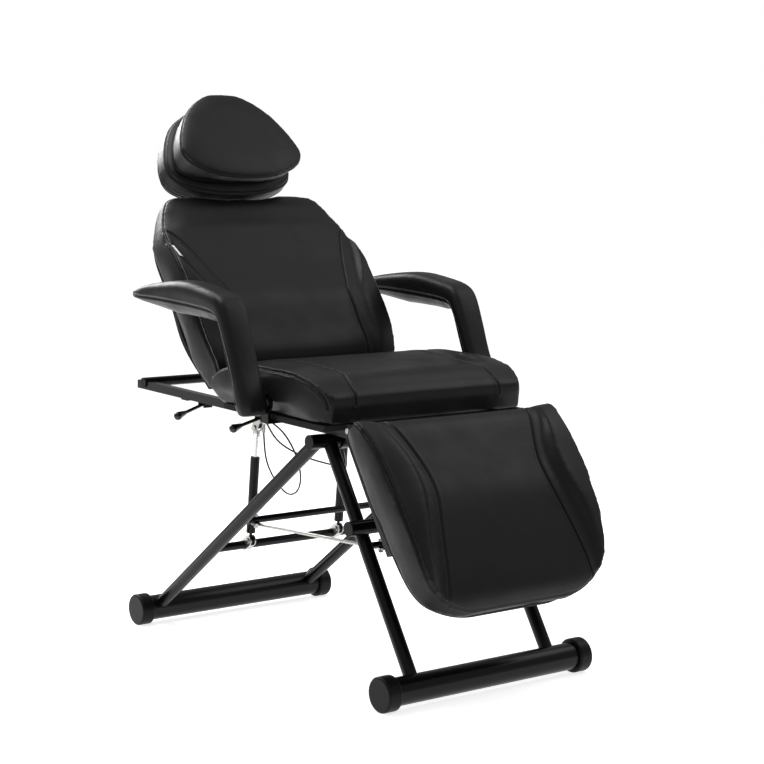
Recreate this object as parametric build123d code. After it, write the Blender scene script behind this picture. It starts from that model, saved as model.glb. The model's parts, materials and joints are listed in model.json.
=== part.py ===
from build123d import *
import math
import os

# Tattoo chair in its sitting position. Millimetres, +Z up, the chair faces -Y,
# +X is the sitter's left. The origin lies on the floor under the middle of the chair.

# Base
foot_span = 567.5
foot_tube_diameter = 60
foot_tube_wall = 2
foot_spacing = 977.6
base_middle_y = -13.16
cap_diameter = 76
cap_length = 35
cap_end_wall = 4
cap_edge_round = 5
cap_flat_width = 16
tube_diameter = 32
tube_wall = 2
leg_diameter = 30
front_leg_spacing = 380
rear_leg_spacing = 442
apex_height = 522
apex_from_front_foot = 298.8
apex_tube_length = 480
plug_head = 4
plug_stem = 14
stretcher_drop = 185
tie_bar_diameter = 14
tie_bar_along_leg = 250
upper_bar_diameter = 16
upper_bar_along_leg = 378
lower_bar_diameter = 20
lower_bar_along_leg = 517
tie_rod_diameter = 8
tie_rod_front_x = 150
tie_rod_rear_x = 176
tie_tab_width = 16
tie_tab_length = 26
tie_tab_thickness = 4
tie_bolt_diameter = 6
tie_bolt_head = 11
tie_bolt_head_height = 4
tie_nut_height = 5
tie_washer = 14
tie_washer_thickness = 1.5

# Tilt gas springs
spring_x = 129
spring_foot_back = 17
spring_foot_rise = 12
spring_top_y = 371
spring_top_z = -30
cylinder_diameter = 22
cylinder_length = 184
cylinder_wall = 1.5
cylinder_foot = 20
neck_diameter = 7
piston_rod_diameter = 10
head_diameter = 18
head_length = 8.5
head_below_eye = 11.5
piston_length = 8
piston_depth = 80
eye_radius = 9.5
eye_width = 8
spring_pin_diameter = 8
fork_cheek = 3
fork_gap = 1
top_eye_bore = 13.6
pin_head_diameter = 14
pin_head_height = 3
bracket_round = 10

# Seat frame, in its own level frame with the apex axis as origin
seat_tilt_angle = 2.2
rail_size = 20
rail_wall = 1.5
rail_spacing = 400
rail_base = 19
rail_front = -143
rail_tail = 29
rear_tube_diameter = 24
rear_tube_y = 750
rail_rear = rear_tube_y + rail_tail
rear_tube_z = 36
sleeve_outer_diameter = 40
sleeve_width = 40
sleeve_x = 145
spring_tube_y = 346
middle_tube_y = 104
pivot_z = 45
back_pivot_y = 392
leg_pivot_y = -140
ear_thickness = 5
pivot_eye_radius = 14
pivot_pin_diameter = 12
side_gap = 3

# Upholstery boards and cushions
board_thickness = 12
board_inset = 14
board_length_share = 0.9
seat_half_width = 290
seat_front = -112
seat_rear = 345
seat_thickness = 106
back_half_width = 280
back_start = 403
back_end = 912
back_plane = 43
back_thickness = 103
leg_half_width = 276
leg_near = -142
leg_far = -595
leg_plane = 48.7
leg_thickness = 91
edge_round_share = 0.09
min_panel_share = 0.25
side_low_share = 1 / 3
side_foot_share = 0.965
wing_slope_share = 1.3

# Backrest and leg rest mechanism
back_rest_angle = 52.8
leg_rest_angle = 56.1
arm_size = 20
back_arm_x = 172
back_arm_end = 705
leg_arm_x = 234
leg_arm_end = -420
crank_radius = 85
crank_angle = -71
crank_x = 95
crank_thickness = 6
crank_half_width = 9.5
link_rod_diameter = 9
link_eye_width = 10
crank_pin_diameter = 8
back_spring_x = -20
back_spring_crank = 52
back_spring_anchor_y = 128
back_spring_anchor_z = 24
back_cylinder_diameter = 20
back_cylinder_length = 150
back_rod_diameter = 8
back_eye_bore = 14.6
back_eye_drop = 2.2
back_eye_radius = 10.5
back_piston_depth = 62
back_tube_offset = 33
leg_tube_offset = 50

# Headrest
head_start = 916
head_end_y = 1175
head_half_width = 180
head_cushion_thickness = 63
pillow_start = 939
pillow_end = 1162
pillow_half_width = 174
pillow_thickness = 78
post_diameter = 12
post_x = 70
post_start = 768
post_end = 1080
guide_start = 842
guide_end = 890
guide_width = 30
guide_height_share = 0.6
knob_diameter = 34
knob_height = 22

# Armrests, side outline in the seat frame
armrest_inner_x = 292
armrest_outer_x = 368
armrest_knee_y = 170
armrest_knee_z = 288
armrest_foot_y = 92
armrest_foot_z = 76
armrest_low_y = 60
armrest_low_z = 60
armrest_top_z = 322
armrest_tip_y = 576
armrest_core_drop = 16
armrest_core_end = 520
armrest_core_end_z = 290
armrest_core_width = 10
armrest_core_lean = 30
armrest_round_share = 0.42
armrest_recess_radius = 66
armrest_pivot_diameter = 12
armrest_disc_diameter = 42
armrest_neck_share = 0.6
armrest_support_drop = 6
armrest_bracket_thickness = 5
armrest_core_thickness = 8
armrest_hub_diameter = 26

# Release levers
lever_diameter = 8
lever_root_x = 150
lever_tip_x = 243
front_lever_root = (319, 4)
front_lever_tip = (286, -8)
rear_lever_root = (564, 4)
rear_lever_tip = (526, -12)
knob_length = 40
lever_knob_diameter = 20
lever_hub_diameter = 18
lever_hub_length = 20
lever_pin_diameter = 6
lever_neck_diameter = 10
lever_bracket_thickness = 3
cable_diameter = 4
cable_arc_share = 0.45
ferrule_diameter = 8
cable_ferrule_diameter = 6.5
cable_tab_reach = 14
cable_tab_back = 5
cable_tab_z = -14

# Clearances and overruns
running_clearance = 0.05
seat_gap = 0.3
face_gap = 0.5
ear_room = 7.5
overrun = 5

# Derived places
cap_radius = cap_diameter / 2
foot_axis_z = math.sqrt(cap_radius ** 2 - (cap_flat_width / 2) ** 2)
front_foot_y = base_middle_y - foot_spacing / 2
rear_foot_y = base_middle_y + foot_spacing / 2
apex_y = front_foot_y + apex_from_front_foot
tube_radius = tube_diameter / 2
leg_radius = leg_diameter / 2
foot_radius = foot_tube_diameter / 2
half_apex_tube = apex_tube_length / 2
front_leg_x = front_leg_spacing / 2
rear_leg_x = rear_leg_spacing / 2
apex = Vector(0, apex_y, apex_height)
front_leg_run = (Vector(0, front_foot_y, foot_axis_z) - apex)
rear_leg_run = (Vector(0, rear_foot_y, foot_axis_z) - apex)
front_leg_way = front_leg_run.normalized()
rear_leg_way = rear_leg_run.normalized()
rail_x = rail_spacing / 2
rail_top = rail_base + rail_size
rail_inner_x = rail_x - rail_size / 2
rail_outer_x = rail_x + rail_size / 2
to_seat_frame = Pos(0, apex_y, apex_height) * Rot(seat_tilt_angle, 0, 0)
raise_backrest = Pos(0, back_pivot_y, pivot_z) * Rot(back_rest_angle, 0, 0) * Pos(0, -back_pivot_y, -pivot_z)
lower_leg_rest = Pos(0, leg_pivot_y, pivot_z) * Rot(leg_rest_angle, 0, 0) * Pos(0, -leg_pivot_y, -pivot_z)

nodes = {}


def bar(start, end, radius):
    way = Vector(end) - Vector(start)
    return Part() + Solid.make_cylinder(radius, way.length, Plane(Vector(start), z_dir=way))


def tube(start, end, radius, wall):
    return bar(start, end, radius) - bar(start, end, radius - wall)


def block(x0, x1, y0, y1, z0, z1):
    return Pos((x0 + x1) / 2, (y0 + y1) / 2, (z0 + z1) / 2) * Box(x1 - x0, y1 - y0, z1 - z0)


def square_tube_x(half_length, y, z0, size, wall):
    outer = block(-half_length, half_length, y - size / 2, y + size / 2, z0, z0 + size)
    inner = block(-half_length, half_length, y - size / 2 + wall, y + size / 2 - wall, z0 + wall,
                  z0 + size - wall)
    return outer - inner


def square_tube_y(x, y0, y1, z0, size, wall):
    outer = block(x - size / 2, x + size / 2, y0, y1, z0, z0 + size)
    inner = block(x - size / 2 + wall, x + size / 2 - wall, y0, y1, z0 + wall, z0 + size - wall)
    return outer - inner


def side_plate(sketch, x0, x1):
    return extrude(Plane.YZ.offset(x0) * sketch, amount=x1 - x0)


def strap_outline(first, second, radius):
    ends = (Pos(*first) * Circle(radius)).edges() + (Pos(*second) * Circle(radius)).edges()
    return make_hull(ends)


def x_bar(y, z, radius, x0, x1):
    return bar((x0, y, z), (x1, y, z), radius)


def plug(x, y, z, side, radius, wall):
    head = x_bar(y, z, radius, x, x + side * plug_head)
    stem = x_bar(y, z, radius - wall, x, x - side * plug_stem)
    return head + stem


def turned(point, angle, centre):
    swing = math.radians(angle)
    y = point[0] - centre[0]
    z = point[1] - centre[1]
    turned_y = centre[0] + y * math.cos(swing) - z * math.sin(swing)
    turned_z = centre[1] + y * math.sin(swing) + z * math.cos(swing)
    return (turned_y, turned_z)


def around(centre, radius, angle):
    swing = math.radians(angle)
    return (centre[0] + radius * math.cos(swing), centre[1] + radius * math.sin(swing))


def seat_to_world(x, y, z):
    turned_y, turned_z = turned((apex_y + y, apex_height + z), seat_tilt_angle, (apex_y, apex_height))
    return (x, turned_y, turned_z)


# Foot tubes and their moulded caps, each cap with a narrow flat to stand on
def foot_cap(side, foot_y):
    outer_x = side * foot_span / 2
    inner_x = outer_x - side * cap_length
    shell = x_bar(foot_y, foot_axis_z, cap_radius, inner_x, outer_x)
    rims = shell.edges().filter_by(GeomType.CIRCLE)
    shell = fillet(rims, cap_edge_round)
    socket_end = outer_x - side * cap_end_wall
    shell -= x_bar(foot_y, foot_axis_z, foot_radius, inner_x - side * overrun, socket_end)
    under_floor = block(-foot_span, foot_span, foot_y - cap_diameter, foot_y + cap_diameter, -cap_diameter, 0)
    return shell - under_floor


foot_half_length = foot_span / 2 - cap_end_wall
caps = []
for foot_name, foot_y in (("front_foot_tube", front_foot_y), ("rear_foot_tube", rear_foot_y)):
    start = (-foot_half_length, foot_y, foot_axis_z)
    end = (foot_half_length, foot_y, foot_axis_z)
    nodes[foot_name] = tube(start, end, foot_radius, foot_tube_wall)
    for side in (-1, 1):
        caps.append(foot_cap(side, foot_y))
nodes["foot_caps"] = Compound(children=caps)

# Apex tube, stretcher and their plugs
apex_core = x_bar(apex_y, apex_height, tube_radius, -half_apex_tube, half_apex_tube)
nodes["apex_tube"] = tube((-half_apex_tube, apex_y, apex_height), (half_apex_tube, apex_y, apex_height),
                          tube_radius, tube_wall)
stretcher_along = stretcher_drop / -front_leg_way.Z
front_of_leg = Vector(0, front_leg_way.Z, -front_leg_way.Y)
stretcher_axis = apex + front_leg_way * stretcher_along
stretcher_reach = leg_radius + tube_radius
stretcher_y = stretcher_axis.Y + front_of_leg.Y * stretcher_reach
stretcher_z = stretcher_axis.Z + front_of_leg.Z * stretcher_reach
nodes["front_stretcher"] = tube((-half_apex_tube, stretcher_y, stretcher_z),
                                (half_apex_tube, stretcher_y, stretcher_z), tube_radius, tube_wall)
plugs = []
for side in (-1, 1):
    for y, z in ((apex_y, apex_height), (stretcher_y, stretcher_z)):
        plugs.append(plug(side * half_apex_tube, y, z, side, tube_radius, tube_wall))
nodes["tube_plugs"] = Compound(children=plugs)


# Legs coped to the apex tube and the foot tubes
def leg(x, run, foot_y):
    start = Vector(x, apex_y, apex_height)
    solid = tube(start, start + run, leg_radius, tube_wall)
    foot_core = x_bar(foot_y, foot_axis_z, foot_radius, -foot_half_length, foot_half_length)
    solid = solid - foot_core - apex_core
    return solid.solids().sort_by(SortBy.VOLUME)[-1]


nodes["front_legs"] = Compound(children=[leg(side * front_leg_x, front_leg_run, front_foot_y)
                                         for side in (-1, 1)])
nodes["rear_legs"] = Compound(children=[leg(side * rear_leg_x, rear_leg_run, rear_foot_y)
                                        for side in (-1, 1)])


# Bars from leg to leg, coped to the legs
def leg_bar(along, way, leg_x, radius):
    centre = apex + way * along
    solid = x_bar(centre.Y, centre.Z, radius, -leg_x, leg_x)
    for side in (-1, 1):
        start = Vector(side * leg_x, apex_y, apex_height)
        solid -= bar(start, start + way * (along + leg_diameter), leg_radius)
    return solid.solids().sort_by(SortBy.VOLUME)[-1]


nodes["front_tie_bar"] = leg_bar(tie_bar_along_leg, front_leg_way, front_leg_x, tie_bar_diameter / 2)
nodes["upper_crossbar"] = leg_bar(upper_bar_along_leg, rear_leg_way, rear_leg_x, upper_bar_diameter / 2)
nodes["lower_crossbar"] = leg_bar(lower_bar_along_leg, rear_leg_way, rear_leg_x, lower_bar_diameter / 2)

# Tie rods with flattened ends, bolted under the front tie bar and the upper crossbar
tie_front = apex + front_leg_way * tie_bar_along_leg
tie_rear = apex + rear_leg_way * upper_bar_along_leg
tie_front_z = tie_front.Z - tie_bar_diameter / 2 - tie_tab_thickness / 2
tie_rear_z = tie_rear.Z - upper_bar_diameter / 2 - tie_tab_thickness / 2


def tie_tab(x, y, z):
    half_tab = tie_tab_thickness / 2
    tab = Pos(x, y, z) * extrude(SlotOverall(tie_tab_length, tie_tab_width, rotation=90), amount=half_tab,
                                 both=True)
    return tab - bar((x, y, z - half_tab), (x, y, z + half_tab), tie_bolt_diameter / 2)


def tie_bolt(x, y, bar_top, tab_bottom):
    washer_bottom = tab_bottom - tie_washer_thickness
    nut_bottom = washer_bottom - tie_nut_height
    shank = bar((x, y, nut_bottom), (x, y, bar_top), tie_bolt_diameter / 2)
    head = bar((x, y, bar_top), (x, y, bar_top + tie_bolt_head_height), tie_bolt_head / 2)
    nut = Pos(x, y, nut_bottom) * extrude(RegularPolygon(tie_bolt_head / 2, 6), amount=tie_nut_height)
    washer = bar((x, y, washer_bottom), (x, y, tab_bottom), tie_washer / 2)
    return shank + head + nut + washer


rods = []
bolts = []
for side in (-1, 1):
    front_point = Vector(side * tie_rod_front_x, tie_front.Y, tie_front_z)
    rear_point = Vector(side * tie_rod_rear_x, tie_rear.Y, tie_rear_z)
    way = (rear_point - front_point).normalized()
    inset = way * (tie_tab_length / 2 - tie_tab_thickness)
    rod = bar(front_point + inset, rear_point - inset, tie_rod_diameter / 2)
    rod = rod + tie_tab(*front_point) + tie_tab(*rear_point)
    for point, radius in ((front_point, tie_bar_diameter / 2), (rear_point, upper_bar_diameter / 2)):
        bar_bottom = point.Z + tie_tab_thickness / 2
        bar_top = bar_bottom + 2 * radius
        bolts.append(tie_bolt(point.X, point.Y, bar_top, bar_bottom - tie_tab_thickness))
    rods.append(rod)
bolt_shanks = Compound(children=bolts)
for node in ("front_tie_bar", "upper_crossbar"):
    nodes[node] = Part() + nodes[node] - bolt_shanks
nodes["tie_rods"] = Compound(children=rods)
nodes["tie_rod_bolts"] = bolt_shanks

# Lower gas spring brackets: two cheeks on the lower crossbar, with a pin through
lower_bar = apex + rear_leg_way * lower_bar_along_leg
spring_foot_y = lower_bar.Y - spring_foot_back
spring_foot_z = lower_bar.Z + spring_foot_rise
foot_point = (spring_foot_y, spring_foot_z)
bar_point = (lower_bar.Y, lower_bar.Z)
cheek_inner = eye_width / 2 + fork_gap
cheek_outer = cheek_inner + fork_cheek
lower_bar_core = x_bar(lower_bar.Y, lower_bar.Z, lower_bar_diameter / 2, -rear_leg_x, rear_leg_x)


def headed_pin(x, point, half_length, diameter):
    pin = x_bar(point[0], point[1], diameter / 2, x - half_length, x + half_length)
    for side in (-1, 1):
        outer = x + side * (half_length + pin_head_height)
        pin += x_bar(point[0], point[1], pin_head_diameter / 2, x + side * half_length, outer)
    return pin


brackets = []
pins = []
for side in (-1, 1):
    x = side * spring_x
    outline = strap_outline(bar_point, foot_point, bracket_round + fork_cheek)
    clip = side_plate(outline, x - cheek_outer, x + cheek_outer)
    slot_foot = (foot_point[0] - bracket_round, foot_point[1] + bracket_round)
    slot_outline = strap_outline(foot_point, slot_foot, bracket_round + fork_cheek)
    clip -= side_plate(slot_outline, x - cheek_inner, x + cheek_inner)
    clip -= lower_bar_core
    clip -= x_bar(foot_point[0], foot_point[1], spring_pin_diameter / 2, x - cheek_outer, x + cheek_outer)
    brackets.append(clip)
    pins.append(headed_pin(x, foot_point, cheek_outer, spring_pin_diameter))
nodes["lower_spring_brackets"] = Compound(children=brackets)
nodes["lower_spring_pins"] = Compound(children=pins)

# Seat frame: two rails, four cross tubes and the sleeves that turn on the apex tube
seat_nodes = {}
rear_tube_radius = rear_tube_diameter / 2
half_rear_tube = rail_outer_x
rear_core = x_bar(rear_tube_y, rear_tube_z, rear_tube_radius, -half_rear_tube, half_rear_tube)
rails = []
for side in (-1, 1):
    rails.append(square_tube_y(side * rail_x, rail_front, rail_rear, rail_base, rail_size,
                               rail_wall) - rear_core)
seat_nodes["seat_rails"] = Compound(children=rails)
rear_start = (-half_rear_tube, rear_tube_y, rear_tube_z)
rear_end = (half_rear_tube, rear_tube_y, rear_tube_z)
seat_nodes["rear_cross_tube"] = tube(rear_start, rear_end, rear_tube_radius, tube_wall)
rear_plugs = []
for side in (-1, 1):
    rear_plugs.append(plug(side * half_rear_tube, rear_tube_y, rear_tube_z, side, rear_tube_radius,
                           tube_wall))
    for y, way in ((rail_front, -1), (rail_rear, 1)):
        edge = y + way * plug_head
        cover = block(side * rail_x - rail_size / 2, side * rail_x + rail_size / 2, min(y, edge),
                      max(y, edge), rail_base, rail_top)
        stem_end = y - way * plug_stem
        half_stem = rail_size / 2 - rail_wall
        stem = block(side * rail_x - half_stem, side * rail_x + half_stem, min(y, stem_end),
                     max(y, stem_end), rail_base + rail_wall, rail_top - rail_wall)
        rear_plugs.append(cover + stem - rear_core)
seat_nodes["frame_plugs"] = Compound(children=rear_plugs)
cross_tubes = []
for y in (0, middle_tube_y, spring_tube_y):
    cross_tubes.append(square_tube_x(rail_inner_x, y, rail_base, rail_size, rail_wall))
seat_nodes["seat_cross_tubes"] = Compound(children=cross_tubes)
sleeves = []
for side in (-1, 1):
    x0 = side * sleeve_x - sleeve_width / 2
    x1 = side * sleeve_x + sleeve_width / 2
    sleeve = x_bar(0, 0, sleeve_outer_diameter / 2, x0, x1)
    sleeve -= x_bar(0, 0, tube_radius + running_clearance, x0, x1)
    sleeve -= block(x0, x1, -rail_size / 2, rail_size / 2, rail_base, rail_top)
    sleeves.append(sleeve)
seat_nodes["pivot_sleeves"] = Compound(children=sleeves)

# Upper gas spring forks under the spring cross tube
spring_top = (spring_top_y, spring_top_z)
forks = []
fork_bolts = []
for side in (-1, 1):
    x = side * spring_x
    tube_point = (spring_tube_y, rail_base)
    outline = strap_outline(tube_point, spring_top, bracket_round)
    fork = side_plate(outline, x - cheek_outer, x + cheek_outer)
    fork -= block(x - spring_x, x + spring_x, -rail_rear, rail_rear, rail_base, rail_top)
    gap_outline = strap_outline(spring_top, (spring_tube_y + rail_size / 2, 0), bracket_round + fork_cheek)
    fork -= side_plate(gap_outline, x - cheek_inner, x + cheek_inner)
    fork -= x_bar(spring_top[0], spring_top[1], spring_pin_diameter / 2, x - cheek_outer, x + cheek_outer)
    inner_face = x - side * cheek_outer
    tab_edges = sorted((inner_face, inner_face - side * cable_tab_reach))
    tab_y = spring_top_y - cable_tab_back
    tab = block(*tab_edges, tab_y - ferrule_diameter, tab_y + ferrule_diameter, cable_tab_z,
                cable_tab_z + fork_cheek)
    forks.append(fork + tab)
    fork_bolts.append(headed_pin(x, spring_top, cheek_outer, spring_pin_diameter))
seat_nodes["upper_spring_forks"] = Compound(children=forks)
seat_nodes["upper_spring_bolts"] = Compound(children=fork_bolts)


# Pivot ears on the rails, with the pins that carry the backrest and the leg rest
def pivot_ear(y, x0, x1):
    outline = strap_outline((y, pivot_z), (y, rail_base + pivot_eye_radius), pivot_eye_radius)
    ear = side_plate(outline, x0, x1)
    return ear - x_bar(y, pivot_z, pivot_pin_diameter / 2, x0, x1)


ears = []
pivot_pins = []
for side in (-1, 1):
    ear_edges = sorted((side * rail_inner_x, side * (rail_inner_x - ear_thickness)))
    ears.append(pivot_ear(back_pivot_y, *ear_edges))
    pin_inner = side * (back_arm_x - arm_size / 2 - side_gap)
    pivot_pins.append(x_bar(back_pivot_y, pivot_z, pivot_pin_diameter / 2, side * rail_inner_x, pin_inner))
    ear_edges = sorted((side * rail_outer_x, side * (rail_outer_x + ear_thickness)))
    ears.append(pivot_ear(leg_pivot_y, *ear_edges))
    pin_outer = side * (leg_arm_x + arm_size / 2 + side_gap)
    pivot_pins.append(x_bar(leg_pivot_y, pivot_z, pivot_pin_diameter / 2, side * rail_outer_x, pin_outer))
seat_nodes["pivot_ears"] = Compound(children=ears)
seat_nodes["pivot_pins"] = Compound(children=pivot_pins)


# Cushions. The share tables give the side curve of the top, from one end to the other, as
# shares of the length and the thickness, and the plan outline as shares of length and half width.
def top_prism(y0, length, z0, thickness, top_shares, end_shares, half_width):
    top = [(y0 + length * along, z0 + thickness * up) for along, up in top_shares]
    tail = [(y0 + length * along, z0 + thickness * up) for along, up in end_shares]
    curve = Spline(*[Vector(0, y, z) for y, z in top])
    corners = [Vector(0, *top[-1])] + [Vector(0, y, z) for y, z in tail] + [Vector(0, *top[0])]
    face = Face(Wire([curve] + Polyline(*corners).edges()))
    return extrude(face, amount=half_width, dir=(1, 0, 0), both=True)


def plan_prism(y0, length, half_width, side_shares, z0, height):
    sides = [(half_width * out, y0 + length * along) for along, out in side_shares]
    right = Spline(*[Vector(x, y, z0) for x, y in sides])
    left = Spline(*[Vector(-x, y, z0) for x, y in sides])
    first = Line(left @ 0, right @ 0)
    last = Line(right @ 1, left @ 1)
    face = Face(Wire([first, right, last, left]))
    return extrude(face, amount=height, dir=(0, 0, 1))


def front_prism(y0, length, half_width, z0, thickness, foot_share):
    top = z0 + thickness
    round_off = thickness * edge_round_share
    foot_x = half_width * foot_share
    shoulder_x = half_width - round_off
    side_z = top - round_off * 2
    right_side = Polyline((foot_x, 0, z0), (half_width, 0, z0 + thickness * side_low_share),
                          (half_width, 0, side_z), (shoulder_x, 0, top))
    left_side = Polyline((-shoulder_x, 0, top), (-half_width, 0, side_z),
                         (-half_width, 0, z0 + thickness * side_low_share), (-foot_x, 0, z0))
    crown = Line((shoulder_x, 0, top), (-shoulder_x, 0, top))
    base = Line((-foot_x, 0, z0), (foot_x, 0, z0))
    face = Face(Wire(right_side.edges() + crown.edges() + left_side.edges() + base.edges()))
    low = min(y0, y0 + length)
    return Pos(0, low, 0) * extrude(face, amount=abs(length), dir=(0, 1, 0))


# The middle panel lies lower than the wings beside it, and the wings slope down to the seams that part them
def panel_outline(seam_shares, y0, length, half_width, z, share):
    sides = [(half_width * out * share, y0 + length * along) for along, out in seam_shares]
    right = Spline(*[Vector(x, y, z) for x, y in sides])
    left = Spline(*[Vector(-x, y, z) for x, y in sides])
    return Face(Wire([Line(left @ 0, right @ 0), right, left, Line(right @ 1, left @ 1)]))


def sunk_panel(solid, seam_shares, panel_shares, y0, length, half_width, z0, thickness):
    low = panel_outline(seam_shares, y0, length, half_width, z0 + thickness * min_panel_share, 1)
    high = panel_outline(seam_shares, y0, length, half_width, z0 + thickness * (1 + edge_round_share),
                         wing_slope_share)
    trough = loft([low, high])
    panel = top_prism(y0, length, z0, thickness, panel_shares, ((1, 0), (0, 0)), half_width)
    return solid - (trough - panel)


# Seat cushion: arched sides, a rounded front, a lobe at the rear, two sewn channels
seat_base = rail_top + board_thickness
seat_length = seat_rear - seat_front
seat_top_shares = ((0, 0.36), (0.012, 0.58), (0.055, 0.68), (0.1, 0.79), (0.2, 0.9), (0.245, 0.945),
                   (0.376, 0.98), (0.698, 0.94), (0.836, 0.78), (0.93, 0.61), (1, 0.4))
seat_end_shares = ((0.975, 0.24), (0.925, 0.12), (0.9, 0), (0.01, 0))
seat_plan_shares = ((0, 0.9), (0.05, 0.94), (0.1, 0.966), (0.2, 0.988), (0.5, 1), (0.9, 1), (1, 0.99))
seat_seam_shares = ((0, 0.71), (0.1, 0.675), (0.24, 0.615), (0.5, 0.64), (1, 0.75))


seat_panel_shares = ((0, 0.5), (0.012, 0.66), (0.055, 0.765), (0.1, 0.83), (0.2, 0.865), (0.376, 0.9),
                     (0.698, 0.87), (0.836, 0.72), (0.93, 0.55), (1, 0.35))
seat_side = top_prism(seat_front, seat_length, seat_base, seat_thickness, seat_top_shares, seat_end_shares,
                      seat_half_width)
seat_plan = plan_prism(seat_front - overrun / 2, seat_length + overrun, seat_half_width, seat_plan_shares,
                       seat_base, seat_thickness)
seat_section = front_prism(seat_front, seat_length, seat_half_width, seat_base, seat_thickness,
                           side_foot_share)
seat_nodes["seat_cushion"] = sunk_panel(seat_side & seat_plan & seat_section, seat_seam_shares,
                                        seat_panel_shares, seat_front,
                                        seat_length, seat_half_width, seat_base, seat_thickness)
board_front = seat_front + board_inset
board_rear = seat_front + board_length_share * seat_length - board_inset
board_half = seat_half_width - board_inset
seat_board = block(-board_half, board_half, board_front, board_rear, rail_top, seat_base)
seat_nodes["seat_board"] = seat_board

# Tilt gas springs: a bored cylinder that swings on the lower bracket, and a rod with its release head
top_world = seat_to_world(0, *spring_top)
spring_foot = Vector(0, *foot_point)
spring_way = (Vector(*top_world) - spring_foot).normalized()
spring_reach = (Vector(*top_world) - spring_foot).length


def spring_part(x, along, until, radius):
    shift = Vector(x, 0, 0)
    return bar(spring_foot + spring_way * along + shift, spring_foot + spring_way * until + shift, radius)


for side, side_name in ((-1, "right"), (1, "left")):
    x = side * spring_x
    eye = x_bar(*foot_point, eye_radius, x - eye_width / 2, x + eye_width / 2)
    cylinder = eye + spring_part(x, 0, cylinder_foot, neck_diameter / 2)
    cylinder_end = cylinder_foot + cylinder_length
    cylinder += spring_part(x, cylinder_foot, cylinder_end, cylinder_diameter / 2)
    bore_radius = cylinder_diameter / 2 - cylinder_wall
    cylinder -= spring_part(x, cylinder_foot + eye_width, cylinder_end - eye_width, bore_radius)
    cylinder -= spring_part(x, cylinder_end - eye_width, cylinder_end,
                            piston_rod_diameter / 2 + running_clearance)
    cylinder -= x_bar(*foot_point, spring_pin_diameter / 2 + running_clearance, x - eye_width, x + eye_width)
    nodes["spring_cylinder_" + side_name] = cylinder
    piston = spring_part(x, cylinder_foot + piston_depth, cylinder_foot + piston_depth + piston_length,
                         bore_radius - running_clearance)
    rod = piston + spring_part(x, cylinder_foot + piston_depth, spring_reach,
                               piston_rod_diameter / 2 - running_clearance)
    head_end = spring_reach - head_below_eye
    rod += spring_part(x, head_end - head_length, head_end, head_diameter / 2)
    rod = rod - x_bar(top_world[1], top_world[2], eye_radius, x - cylinder_diameter, x + cylinder_diameter)
    rod += x_bar(top_world[1], top_world[2], eye_radius, x - eye_width / 2, x + eye_width / 2)
    rod -= x_bar(top_world[1], top_world[2], top_eye_bore / 2, x - eye_width, x + eye_width)
    nodes["spring_rod_" + side_name] = rod.solids().sort_by(SortBy.VOLUME)[-1]

# Backrest, modelled lying flat in the seat frame
back_nodes = {}
back_pivot = (back_pivot_y, pivot_z)
arm_base = back_plane - arm_size
arm_start = back_pivot_y + pivot_eye_radius / 2


def hinged_arm(side, arm_x, pivot_y, start, end, base):
    low, high = sorted((start, end))
    arm = square_tube_y(side * arm_x, low, high, base, arm_size, rail_wall)
    half = arm_size / 2
    edges = sorted((side * arm_x - half, side * arm_x + half))
    centre = (start, base + half)
    eye = side_plate(strap_outline((pivot_y, pivot_z), centre, half), *edges)
    eye += x_bar(pivot_y, pivot_z, pivot_eye_radius, *edges)
    eye -= block(*edges, low, high, base, base + arm_size)
    eye -= block(*edges, min(pivot_y, end), max(pivot_y, end), base + arm_size,
                 base + board_thickness + arm_size + overrun)
    eye += x_bar(pivot_y, pivot_z, pivot_eye_radius - face_gap, *edges)
    eye -= x_bar(pivot_y, pivot_z, pivot_pin_diameter / 2 + running_clearance, *edges)
    return arm + eye


arms = [hinged_arm(side, back_arm_x, back_pivot_y, arm_start, back_arm_end, arm_base) for side in (-1, 1)]
half_back_tube = back_arm_x - arm_size / 2
back_tube_y = back_pivot_y + back_tube_offset
arms.append(square_tube_x(half_back_tube, back_tube_y, arm_base, arm_size, rail_wall))
arms.append(square_tube_x(half_back_tube, back_arm_end - arm_size / 2, arm_base, arm_size, rail_wall))
back_nodes["back_frame"] = Compound(children=arms)


# Cranks: a plate from the frame's cross tube past the pivot to a stud
def crank(pivot, tube_point, tube_box, angle, radius, x0, x1, stud_x):
    tip = around(pivot, radius, angle)
    plate = side_plate(strap_outline(tip, pivot, crank_half_width), x0, x1)
    plate += side_plate(strap_outline(pivot, tube_point, crank_half_width), x0, x1)
    plate -= tube_box
    plate = plate.solids().sort_by(SortBy.VOLUME)[-1]
    return Part() + plate + x_bar(*tip, crank_pin_diameter / 2, x0, stud_x)


def tube_zone(tube_y, base, reach):
    return block(-reach, reach, tube_y - arm_size / 2, tube_y + arm_size / 2, base, base + arm_size)


back_zone = tube_zone(back_tube_y, arm_base, half_back_tube)
back_tube_point = (back_tube_y, arm_base + arm_size / 2)
flat_crank_angle = crank_angle - back_rest_angle
crank_x0 = crank_x + link_eye_width / 2 + face_gap
crank_x1 = crank_x0 + crank_thickness
link_crank = crank(back_pivot, back_tube_point, back_zone, flat_crank_angle, crank_radius, crank_x0, crank_x1,
                   crank_x - link_eye_width / 2)
spring_crank_x0 = back_spring_x + link_eye_width / 2 + face_gap
spring_crank_x1 = spring_crank_x0 + crank_thickness
spring_crank = crank(back_pivot, back_tube_point, back_zone, flat_crank_angle, back_spring_crank,
                     spring_crank_x0,
                     spring_crank_x1, back_spring_x - link_eye_width / 2)
back_nodes["back_cranks"] = Compound(children=[link_crank, spring_crank])

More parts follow.
